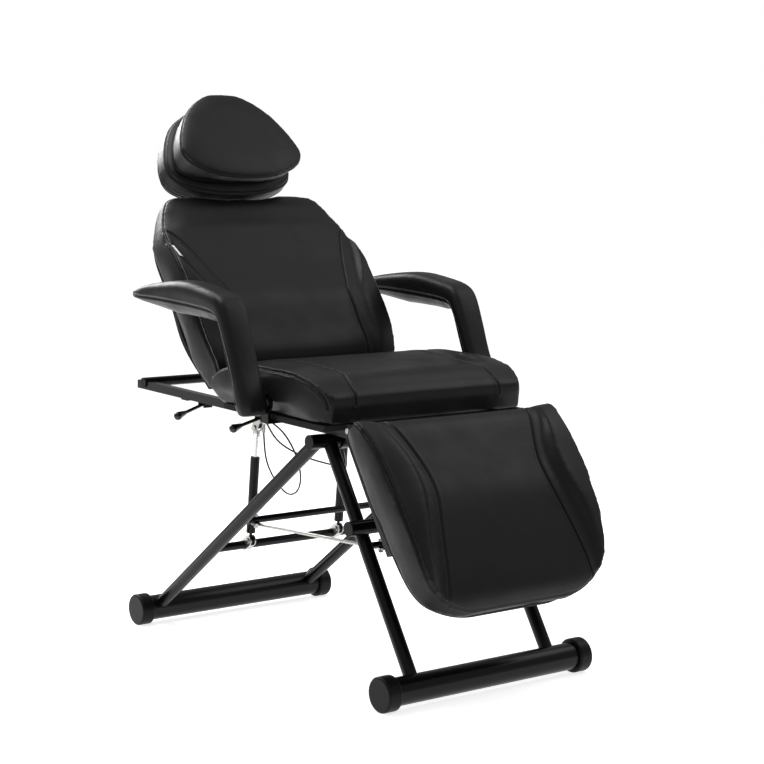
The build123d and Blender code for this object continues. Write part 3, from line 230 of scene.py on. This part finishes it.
# Small steel hardware: tie rods, bolts, pins, clevises, armrest cores and ferrules. It is zinc plated
# and passivated, and bolted or pinned to the coated frame.
zinc_plate, shader, place = new_finish("zinc_plated_steel", {"Base Color": paint("#b9bbbd"), "Metallic": 1.0,
                                                             "Roughness": 0.34})
# The passivation leaves a faint yellow cast in patches some 15 mm wide, and dull specks under 2 mm wide
cast = add_node(zinc_plate, "ShaderNodeTexNoise", {"Vector": place, "Scale": 70.0, "Detail": 2.0})
tint = add_node(zinc_plate, "ShaderNodeMix", {0: cast.outputs[0], 6: paint("#b4b8bc"),
                                              7: paint("#bdb9ac")}, data_type="RGBA")
zinc_plate.node_tree.links.new(tint.outputs[2], shader.inputs["Base Color"])
specks = add_node(zinc_plate, "ShaderNodeTexNoise", {"Vector": place, "Scale": 600.0, "Detail": 2.0})
dullness = add_node(zinc_plate, "ShaderNodeMapRange", {"Value": specks.outputs[0], "To Min": 0.26,
                                                       "To Max": 0.44})
zinc_plate.node_tree.links.new(dullness.outputs[0], shader.inputs["Roughness"])
coat(zinc_plate, "tie_rods", "tie_rod_bolts", "lower_spring_brackets", "lower_spring_pins",
     "upper_spring_forks", "upper_spring_bolts", "pivot_pins", "cable_ferrules", "armrest_core_left",
     "armrest_core_right")


# Gas spring rods: steel, ground and hard chromed, each with a release head under its eye. They slide
# in the three cylinders.
chrome, shader, place = new_finish("hard_chrome", {"Base Color": paint("#d5d7da"), "Metallic": 1.0,
                                                   "Roughness": 0.12})
# Grinding leaves marks under 1 mm apart that the plating follows
marks = add_node(chrome, "ShaderNodeTexNoise", {"Vector": place, "Scale": 1200.0, "Detail": 1.0})
dullness = add_node(chrome, "ShaderNodeMapRange", {"Value": marks.outputs[0], "To Min": 0.08,
                                                   "To Max": 0.18})
chrome.node_tree.links.new(dullness.outputs[0], shader.inputs["Roughness"])
coat(chrome, "spring_rod_left", "spring_rod_right", "back_spring_rod")


# Boards: plywood behind each cushion, its underside and edge covered in stapled black dust cloth, and
# fixed on the frame's arms and rails.
dust_cloth, shader, place = new_finish("black_dust_cloth", {"Base Color": paint("#1b1b1c"),
                                                            "Roughness": 0.95})
# Spunbonded cloth, pressed together in dots 2 mm apart, with a cloudy spread of fibres 11 mm wide
dots = add_node(dust_cloth, "ShaderNodeTexVoronoi", {"Vector": place, "Scale": 480.0, "Randomness": 0.3})
bump = add_node(dust_cloth, "ShaderNodeBump", {"Height": dots.outputs[0], "Strength": 0.4,
                                               "Distance": 0.0004})
dust_cloth.node_tree.links.new(bump.outputs[0], shader.inputs["Normal"])
clouds = add_node(dust_cloth, "ShaderNodeTexNoise", {"Vector": place, "Scale": 90.0, "Detail": 3.0})
tint = add_node(dust_cloth, "ShaderNodeMix", {0: clouds.outputs[0], 6: paint("#141415"),
                                              7: paint("#222223")}, data_type="RGBA")
dust_cloth.node_tree.links.new(tint.outputs[2], shader.inputs["Base Color"])
coat(dust_cloth, "seat_board", "back_board", "headrest_board", "leg_rest_board")


# Seat cushion: cut foam on its board, in a cover sewn from satin black artificial leather and stapled
# under the board. It has arched side panels, a middle panel that rolls over the front, and a bolster at
# each side. Like every cushion it is its CAD solid, remeshed, swollen a little as cloth, then sewn.
leather, shader, place = new_finish("satin_pu_leather", {"Base Color": paint("#111112"), "Roughness": 0.42,
                                                         "Specular IOR Level": 0.22})
# Embossed grain with pebbles 1.4 mm across, drawn a little coarser than the real 1 mm so that it shows
pores = add_node(leather, "ShaderNodeTexVoronoi", {"Vector": place, "Scale": 700.0, "Smoothness": 0.4},
                 feature="SMOOTH_F1")
# The cover is not quite flat: shallow puckers 30 to 80 mm wide where it is stretched over the foam
puckers = add_node(leather, "ShaderNodeTexNoise", {"Vector": place, "Scale": 16.0, "Detail": 2.0,
                                                   "Roughness": 0.5})
grain = add_node(leather, "ShaderNodeBump", {"Height": pores.outputs[0], "Strength": 0.22,
                                             "Distance": 0.0005})
soft = add_node(leather, "ShaderNodeBump", {"Height": puckers.outputs[0], "Strength": 0.12, "Distance": 0.01,
                                            "Normal": grain.outputs[0]})
leather.node_tree.links.new(soft.outputs[0], shader.inputs["Normal"])
# Handling polishes it unevenly
polish = add_node(leather, "ShaderNodeMapRange", {"Value": puckers.outputs[0], "From Min": 0.3,
                                                  "From Max": 0.7, "To Min": 0.38, "To Max": 0.47})
leather.node_tree.links.new(polish.outputs[0], shader.inputs["Roughness"])

# Bonded polyester thread with a low silky shine, black. The thread for the outer side seams is painted light
# grey, a painted highlight standing in for the light that catches those stitches. Its twist, under 1 mm long,
# catches small lights.
sewing_threads = []
for name, colour in (("polyester_thread_painted_highlight", "#b4b4b6"), ("black_polyester_thread", "#2c2c2e")):
    thread, shader, place = new_finish(name, {"Base Color": paint(colour), "Roughness": 0.5})
    twist = add_node(thread, "ShaderNodeTexNoise", {"Vector": place, "Scale": 1500.0, "Detail": 1.0})
    bump = add_node(thread, "ShaderNodeBump", {"Height": twist.outputs[0], "Strength": 0.4,
                                               "Distance": 0.0002})
    thread.node_tree.links.new(bump.outputs[0], shader.inputs["Normal"])
    sewing_threads.append(thread)
highlight_thread, black_thread = sewing_threads


def settle(piece):
    """Makes the piece's mesh what its modifiers show."""
    shaped = bpy.data.meshes.new_from_object(piece.evaluated_get(bpy.context.evaluated_depsgraph_get()))
    piece.modifiers.clear()
    piece.data = shaped


def relax(piece, rounds):
    surface = bmesh.new()
    surface.from_mesh(piece.data)
    for _ in range(rounds):
        bmesh.ops.smooth_vert(surface, verts=surface.verts, factor=0.5, use_axis_x=True, use_axis_y=True,
                              use_axis_z=True)
    surface.to_mesh(piece.data)
    surface.free()


def cover(node, name, voxel, rounds, most, foam=None):
    """A node's leather cover: remeshed, smoothed, then swollen by cloth pressure by no more than most."""
    same_place = 0.00005
    pressure = 4
    last_step = 14
    blending = 25
    source = foam or bmesh.new()
    if not foam:
        source.from_mesh(frame["nodes"][node].data)
        bmesh.ops.remove_doubles(source, verts=source.verts, dist=same_place)
    pad = bpy.data.objects.new(name, bpy.data.meshes.new(name))
    source.to_mesh(pad.data)
    source.free()
    bpy.context.scene.collection.objects.link(pad)
    remesh = pad.modifiers.new("remesh", "REMESH")
    remesh.mode = "VOXEL"
    remesh.voxel_size = voxel
    settle(pad)
    relax(pad, rounds)
    start = numpy.array([vertex.co for vertex in pad.data.vertices])
    cloth = pad.modifiers.new("cloth", "CLOTH")
    cloth.settings.use_pressure = True
    cloth.settings.uniform_pressure_force = pressure
    cloth.settings.effector_weights.gravity = 0
    cloth.settings.quality = 3
    for step in range(1, last_step + 1):
        bpy.context.scene.frame_set(step)
    settle(pad)
    bpy.context.scene.frame_set(1)
    move = numpy.array([vertex.co for vertex in pad.data.vertices]) - start
    far = numpy.linalg.norm(move, axis=1)
    move *= numpy.minimum(1, most / numpy.maximum(far, 1e-9))[:, None]
    # The cover is glued to the foam near its seams, so only the broad swelling stays, not the ruffles
    ends = numpy.array([edge.vertices for edge in pad.data.edges])
    count = numpy.bincount(ends.ravel(), minlength=len(start))[:, None]
    for _ in range(blending):
        total = numpy.zeros_like(move)
        numpy.add.at(total, ends[:, 0], move[ends[:, 1]])
        numpy.add.at(total, ends[:, 1], move[ends[:, 0]])
        move = total / count
    pad.data.vertices.foreach_set("co", (start + move).ravel())
    rounding = pad.modifiers.new("rounding", "SUBSURF")
    rounding.levels = 1
    rounding.render_levels = 1
    settle(pad)
    pad.data.materials.clear()
    pad.data.materials.append(leather)
    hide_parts(node)
    return pad


def surface_of(pad):
    return BVHTree.FromPolygons([vertex.co for vertex in pad.data.vertices],
                                [polygon.vertices for polygon in pad.data.polygons])


def even(line, rounds):
    for _ in range(rounds):
        line = [line[0]] + [(a + 2 * b + c) / 4 for a, b, c in zip(line, line[1:], line[2:])] + [line[-1]]
    return line


def seam_run(surface, corners, step):
    """A smooth run through the corners, laid on the cover, with one point every step."""
    parts = 24
    stand_off = 0.012
    dense = []
    for n in range(len(corners) - 1):
        before = corners[max(n - 1, 0)]
        first, last = corners[n], corners[n + 1]
        after = corners[min(n + 2, len(corners) - 1)]
        for part in range(parts):
            t = part / parts
            dense.append(0.5 * (2 * first + (last - before) * t
                                + (2 * before - 5 * first + 4 * last - after) * t ** 2
                                + (3 * first - before - 3 * last + after) * t ** 3))
    dense.append(corners[-1])
    laid = []
    walked = step
    for first, last in zip(dense, dense[1:]):
        while walked <= (last - first).length:
            laid.append(first.lerp(last, walked / max((last - first).length, 1e-9)))
            walked += step
        walked -= (last - first).length
    # Seen from a little outside, the nearest place on the cover doesn't jump from face to face at an edge
    found = [surface.find_nearest(place) for place in laid]
    normals = even([hit[1] for hit in found], 40)
    laid = even([hit[0] + stand_off * normal for hit, normal in zip(found, normals)], 12)
    laid = even([surface.find_nearest(place)[0] for place in laid], 6)
    return [surface.find_nearest(place)[:2] for place in laid]


def sink_seams(pad, runs, reach, depth):
    """Pulls the cover in along each seam, with a low swell on both sides of it."""
    swell_share = 0.3
    finer_within = 2.6
    moved_within = 4
    tree = KDTree(sum(len(run) for run in runs))
    for n, (place, normal) in enumerate(point for run in runs for point in run):
        tree.insert(place, n)
    tree.balance()
    surface = bmesh.new()
    surface.from_mesh(pad.data)
    near = [edge for edge in surface.edges
            if tree.find((edge.verts[0].co + edge.verts[1].co) / 2)[2] < reach * finer_within]
    bmesh.ops.subdivide_edges(surface, edges=near, cuts=1, use_grid_fill=True)
    surface.normal_update()
    moves = []
    for vertex in surface.verts:
        away = tree.find(vertex.co)[2] / reach
        if away < moved_within:
            push = swell_share * math.exp(-(away - 2) ** 2) - math.exp(-away ** 2)
            moves.append((vertex, vertex.normal * depth * push))
    for vertex, move in moves:
        vertex.co += move
    bmesh.ops.smooth_vert(surface, verts=[vertex for vertex, move in moves], factor=0.5, use_axis_x=True,
                          use_axis_y=True, use_axis_z=True)
    surface.to_mesh(pad.data)
    surface.free()
    pad.data.polygons.foreach_set("use_smooth", [True] * len(pad.data.polygons))


def add_mesh_piece(name, data, finish, body):
    piece = bpy.data.objects.new(name, data)
    bpy.context.scene.collection.objects.link(piece)
    data.materials.clear()
    data.materials.append(finish)
    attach(piece, body)
    return piece


def across(run, n):
    """The seam's way at point n, and the way across it on the cover."""
    way = (run[min(n + 1, len(run) - 1)][0] - run[max(n - 1, 0)][0]).normalized()
    return way, way.cross(run[n][1]).normalized()


def lap(name, surface, runs, aside, body):
    """The lapped panel edge beside each seam's groove, a rounded fold 2.4 mm wide."""
    fold_radius = 0.0012
    from_seam = 0.0016
    sunk_by = 0.0008
    folds = bpy.data.curves.new(name, "CURVE")
    folds.dimensions = "3D"
    folds.bevel_depth = fold_radius
    folds.bevel_resolution = 1
    folds.use_fill_caps = True
    for run, side in zip(runs, aside):
        beside = [surface.find_nearest(place + across(run, n)[1] * math.copysign(from_seam, side)
                                       - normal * sunk_by)[0] for n, (place, normal) in enumerate(run)]
        spline = folds.splines.new("POLY")
        beside = even(beside, 4)[::2]
        spline.points.add(len(beside) - 1)
        for point, place in zip(spline.points, beside):
            point.co = (*place, 1)
    strand = bpy.data.objects.new(name + "_curve", folds)
    bpy.context.scene.collection.objects.link(strand)
    shaped = bpy.data.meshes.new_from_object(strand.evaluated_get(bpy.context.evaluated_depsgraph_get()))
    bpy.data.objects.remove(strand)
    shaped.polygons.foreach_set("use_smooth", [True] * len(shaped.polygons))
    add_mesh_piece(name, shaped, leather, body)


def stitch(name, surface, runs, aside, thread, body):
    """Topstitching beside each seam: stitches 3.4 mm long, one every 4.5 mm, half sunk in the cover."""
    half_stitch = Matrix.Diagonal((1.7, 0.75, 0.65, 1))
    thread_size = 0.001
    lift = 0.0003
    together = bmesh.new()
    for run, side in zip(runs, aside):
        sewing = bmesh.new()
        for n in range(1, len(run) - 1, 3):
            way, over = across(run, n)
            spot, normal, _, _ = surface.find_nearest(run[n][0] + over * side)
            over = way.cross(normal).normalized()
            turn = Matrix((way, over, over.cross(way))).transposed().to_4x4()
            centre = Matrix.Translation(spot + normal * lift)
            bmesh.ops.create_icosphere(sewing, subdivisions=1, radius=thread_size,
                                       matrix=centre @ turn @ half_stitch)
        row = bpy.data.meshes.new(name)
        sewing.to_mesh(row)
        sewing.free()
        together.from_mesh(row)
        bpy.data.meshes.remove(row)
    threads = bpy.data.meshes.new(name)
    together.to_mesh(threads)
    together.free()
    add_mesh_piece(name, threads, thread, body)


def sewn(pad, body, seams, lit_seams=0):
    """Sews the seams: the first few of them, as many as asked, in light grey thread that is a painted
    highlight, and the rest in black.
    """
    step, reach, depth = 0.0015, 0.003, 0.0026
    aside = [side for seam, side in seams]
    surface = surface_of(pad)
    runs = [seam_run(surface, [Vector(corner) for corner in seam], step) for seam, side in seams]
    sink_seams(pad, runs, reach, depth)
    sunk = surface_of(pad)
    lap(pad.name + "_laps", sunk, runs, aside, body)
    if lit_seams:
        stitch(pad.name + "_stitches_painted_highlight", sunk, runs[:lit_seams], aside[:lit_seams], highlight_thread, body)
    if lit_seams < len(runs):
        stitch(pad.name + "_stitches", sunk, runs[lit_seams:], aside[lit_seams:], black_thread, body)
    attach(pad, body)
    return surface


def both_sides(points, place, side):
    """The same seam on the sitter's left and right, its stitches on the outer or inner side of both."""
    left = [place(x, y, z) for x, y, z in points]
    right = [place(-x, y, z) for x, y, z in points]
    return [(left, side), (right, -side)]


seat_pad = cover("seat_cushion", "seat_pad", voxel=0.006, rounds=2, most=0.01)
seat_edge = ((283, -108, 88), (286, -100, 108), (287, -88, 121), (288, -60, 135), (288, 0, 149),
             (289, 100, 154), (289, 207, 151), (289, 280, 135), (288, 322, 110))
seat_inner = ((199, -112, 90), (199, -113, 106), (198, -100, 124), (194, -68, 136), (178, 4, 141),
              (182, 100, 144), (196, 200, 142), (212, 290, 122))
# Stitches lie 3 mm outside a side seam and 4 mm to one side of an inner one
beside_edge, beside_inner = 0.003, 0.004
sewn(seat_pad, "seat_frame", both_sides(seat_edge, on_seat, beside_edge)
     + both_sides(seat_inner, on_seat, -beside_inner))


# Backrest cushion: foam on its board in the same leather. A middle panel sinks between two wings, parted by
# seams that swing out to the side seams below the shoulders. The side seams' stitches are painted light grey
# as a painted highlight.
back_slope = 52.8
back_turn = Matrix.Rotation(math.radians(seat_slope + back_slope), 4, "X")


def on_back(x, y, z):
    return joint_place["backrest_recline"] + back_turn @ (Vector((x, y - 392, z - 45)) / 1000)


back_pad = cover("back_cushion", "back_pad", voxel=0.007, rounds=2, most=0.01)
# The shoulders swell up past the dip that leaves room for the headrest, by 14 mm at mid thickness
swell_height = 0.014
back_home = (Matrix.Translation(joint_place["backrest_recline"]) @ back_turn
             @ Matrix.Translation((0, -0.392, -0.045))).inverted()
for vertex in back_pad.data.vertices:
    x, y, z = back_home @ vertex.co
    swell = (max(0, min(1, (y - 0.8) / 0.11)) * max(0, min(1, (abs(x) - 0.05) / 0.07))
             * max(0, 1 - ((z - 0.09) / 0.035) ** 2))
    vertex.co += back_turn @ Vector((0, swell_height * swell, 0))
back_edge = ((256, 412, 118), (266, 440, 134), (274, 498, 146), (279, 550, 153), (274, 625, 156),
             (272, 712, 149), (269, 761, 137), (262, 800, 124), (249, 845, 116), (234, 870, 113),
             (215, 893, 110), (190, 903, 108), (120, 908, 108), (0, 909, 109))
back_inner = ((177, 410, 115), (177, 427, 130), (178, 472, 139), (172, 533, 143), (168, 593, 147),
              (177, 623, 145), (196, 676, 135), (218, 737, 127), (238, 780, 124), (258, 806, 122))
back_surface = sewn(back_pad, "backrest", both_sides(back_edge, on_back, -beside_edge)
                    + both_sides(back_inner, on_back, beside_inner), lit_seams=2)


# Seam tag: a bare white satin ribbon, 42 by 13 mm, woven from polyester. It is caught in the side seam on
# the sitter's right and lies on the wing.
ribbon, shader, place = new_finish("white_satin_ribbon", {"Base Color": paint("#ececea"), "Roughness": 0.45})
# Its threads show as fine bands 1 mm apart, drawn coarser than the real ones so that they show
weave = add_node(ribbon, "ShaderNodeTexWave", {"Vector": place, "Scale": 320.0, "Distortion": 0.4},
                 bands_direction="Z")
bump = add_node(ribbon, "ShaderNodeBump", {"Height": weave.outputs[0], "Strength": 0.15, "Distance": 0.0002})
ribbon.node_tree.links.new(bump.outputs[0], shader.inputs["Normal"])
tag_mesh = bmesh.new()
bmesh.ops.create_grid(tag_mesh, x_segments=4, y_segments=12, size=0.5)
tag_x, tag_y, tag_above = -258, 738, 150
tag_width, tag_length, tag_slant = 13, 42, 5
tag_lift = 0.0022
for vertex in tag_mesh.verts:
    x = tag_x + tag_width * vertex.co.x - tag_slant * vertex.co.y
    y = tag_y + tag_length * vertex.co.y
    spot, normal, _, _ = back_surface.find_nearest(on_back(x, y, tag_above))
    vertex.co = spot + normal * tag_lift
bmesh.ops.recalc_face_normals(tag_mesh, faces=tag_mesh.faces)
tag_thickness = 0.0006
bmesh.ops.solidify(tag_mesh, geom=tag_mesh.faces, thickness=tag_thickness)
tag_data = bpy.data.meshes.new("seam_tag")
tag_mesh.to_mesh(tag_data)
tag_mesh.free()
add_mesh_piece("seam_tag", tag_data, ribbon, "backrest")


# Leg rest cushion: foam on its board in the same leather, sewn like the backrest, with its wings widest
# at the calves. It rides on the leg rest frame.
leg_slope = 56.1
leg_turn = Matrix.Rotation(math.radians(seat_slope + leg_slope), 4, "X")


def on_leg_rest(x, y, z):
    return joint_place["leg_rest_lift"] + leg_turn @ (Vector((x, y + 140, z - 45)) / 1000)


leg_rest_pad = cover("leg_rest_cushion", "leg_rest_pad", voxel=0.007, rounds=2, most=0.01)
leg_edge = ((273, -147, 112), (271, -180, 127), (268, -220, 140), (266, -290, 148), (263, -359, 149),
            (256, -440, 144), (250, -480, 136), (240, -525, 126), (222, -555, 119), (190, -575, 113),
            (150, -588, 108), (80, -591, 106), (0, -592, 106))
leg_inner = ((199, -147, 110), (184, -190, 113), (170, -230, 117), (156, -283, 122), (155, -335, 128),
             (169, -401, 125), (180, -450, 121), (189, -500, 117), (197, -550, 112), (202, -582, 106))
sewn(leg_rest_pad, "leg_rest", both_sides(leg_edge, on_leg_rest, beside_edge)
     + both_sides(leg_inner, on_leg_rest, -beside_inner))


# Headrest cushion: foam on its board in the same leather, made of a front panel and a boxing band with
# a seam at both edges of the band. It rides on the two headrest posts.
headrest_pad = cover("headrest_cushion", "headrest_pad", voxel=0.005, rounds=2, most=0.008)


def round_seam(half_width, start, end, height):
    shape = ((0, 0), (0.4, 0.018), (0.761, 0.085), (0.944, 0.17), (1, 0.266), (0.983, 0.386), (0.889, 0.568),
             (0.794, 0.691), (0.64, 0.815), (0.4, 0.93), (0, 1))
    return [(x * half_width, start + (end - start) * y, height) for x, y in shape]


sewn(headrest_pad, "headrest", both_sides(round_seam(177, 919, 1172, 109), on_back, -beside_edge)
     + both_sides(round_seam(178, 918, 1174, 70), on_back, -beside_edge))


# Pillow: a foam pillow in the same leather, taken as held on the headrest by hook-and-loop. It is wide
# over the neck and narrow over the crown, and its front panel is larger than its back.
pillow_front = ((0, 914), (40, 916), (80, 922), (108, 931), (138, 944), (161, 960), (171, 976), (174, 990),
                (172, 1003), (167, 1020), (158, 1045), (145, 1070), (128, 1098), (106, 1121), (84, 1140),
                (58, 1155), (34, 1163), (0, 1165))
pillow_back = ((0, 945), (55, 946), (94, 950), (122, 956), (142, 964), (155, 972), (161, 980), (163, 990),
               (162, 1002), (158, 1018), (150, 1042), (138, 1066), (122, 1092), (101, 1114), (80, 1132),
               (55, 1147), (32, 1154), (0, 1156))


def pillow_ring(share, size, height):
    """A ring of the pillow, share of the way from its back to its front, shrunk about its middle."""
    middle = 1040
    right = [(b[0] + (f[0] - b[0]) * share, b[1] + (f[1] - b[1]) * share)
             for b, f in zip(pillow_back, pillow_front)]
    ring = right + [(-x, y) for x, y in reversed(right[1:-1])]
    return [on_back(x * size, middle + (y - middle) * size, height) for x, y in ring]


pillow_foam = bmesh.new()
rings = []
for share, size, height in ((0, 0.9, 112), (0.02, 0.97, 114), (0.1, 1, 122), (0.45, 1, 148), (0.95, 1, 178),
                            (1, 1, 184), (1, 0.99, 189), (1, 0.95, 191.5), (1, 0.6, 194)):
    ring = [pillow_foam.verts.new(place) for place in pillow_ring(share, size, height)]
    rings.append([pillow_foam.edges.new(ends) for ends in zip(ring, ring[1:] + ring[:1])])
    if len(rings) > 1:
        bmesh.ops.bridge_loops(pillow_foam, edges=rings[-2] + rings[-1])
for ring in (rings[0], rings[-1]):
    bmesh.ops.contextual_create(pillow_foam, geom=ring)
bmesh.ops.recalc_face_normals(pillow_foam, faces=pillow_foam.faces)
head_pillow = cover("pillow", "head_pillow", voxel=0.0045, rounds=3, most=0.003, foam=pillow_foam)
front_seam_height, back_seam_height = 184, 128
sewn(head_pillow, "headrest",
     both_sides([(x, y, front_seam_height) for x, y in pillow_front], on_back, -beside_edge)
     + both_sides([(x, y, back_seam_height) for x, y in pillow_back], on_back, beside_edge))


# Armrests: a steel core in moulded foam, in a leather cover with one seam round the outer side, its stitches
# painted light grey as a painted highlight, and one round the inner. Each is bolted to its bracket and swings
# back on the bolt.
seat_home = (Matrix.Translation(seat_joint) @ seat_turn).inverted()
arm_line = ((572, 277), (540, 276), (506, 275), (439, 276), (374, 275), (273, 271), (225, 269), (200, 262),
            (185, 246), (163, 209), (143, 171), (128, 134), (117, 97), (104, 78))
belly_depth = 0.02
for name, body, inner, outer in (("left", "armrest_left", 293, 367), ("right", "armrest_right", -293, -367)):
    arm_pad = cover("armrest_pad_" + name, "armrest_cover_" + name, voxel=0.005, rounds=2, most=0.005)
    way = 1 if name == "left" else -1
    # The underside hangs below the seams like the belly of a boat, deepest halfway along
    for vertex in arm_pad.data.vertices:
        x, y, z = seat_home @ vertex.co
        along = max(0, min(1, (y - 0.178) / 0.05, (0.575 - y) / 0.2))
        belly = max(0, 1 - ((abs(x) - 0.33) / 0.038) ** 2) * along * max(0, min(1, (0.296 - z) / 0.016))
        vertex.co += seat_turn @ Vector((0, 0, -belly_depth * belly))
    sewn(arm_pad, body, [([on_seat(outer, y, z) for y, z in arm_line], beside_edge * way),
                         ([on_seat(inner, y, z) for y, z in arm_line[:-2]], -beside_edge * way)],
         lit_seams=1)


# Knobs: moulded in gloss black phenolic, and screwed onto the ends of both levers and the headrest
# clamp's stud.
knob_plastic, shader, place = new_finish("gloss_phenolic", {"Base Color": paint("#101011"),
                                                            "Roughness": 0.16})
# Fingers dull the gloss in patches about 10 mm wide
grip = add_node(knob_plastic, "ShaderNodeTexNoise", {"Vector": place, "Scale": 100.0, "Detail": 2.0})
dullness = add_node(knob_plastic, "ShaderNodeMapRange", {"Value": grip.outputs[0], "To Min": 0.12,
                                                         "To Max": 0.26})
knob_plastic.node_tree.links.new(dullness.outputs[0], shader.inputs["Roughness"])
coat(knob_plastic, "front_knob", "rear_knob", "headrest_knob")
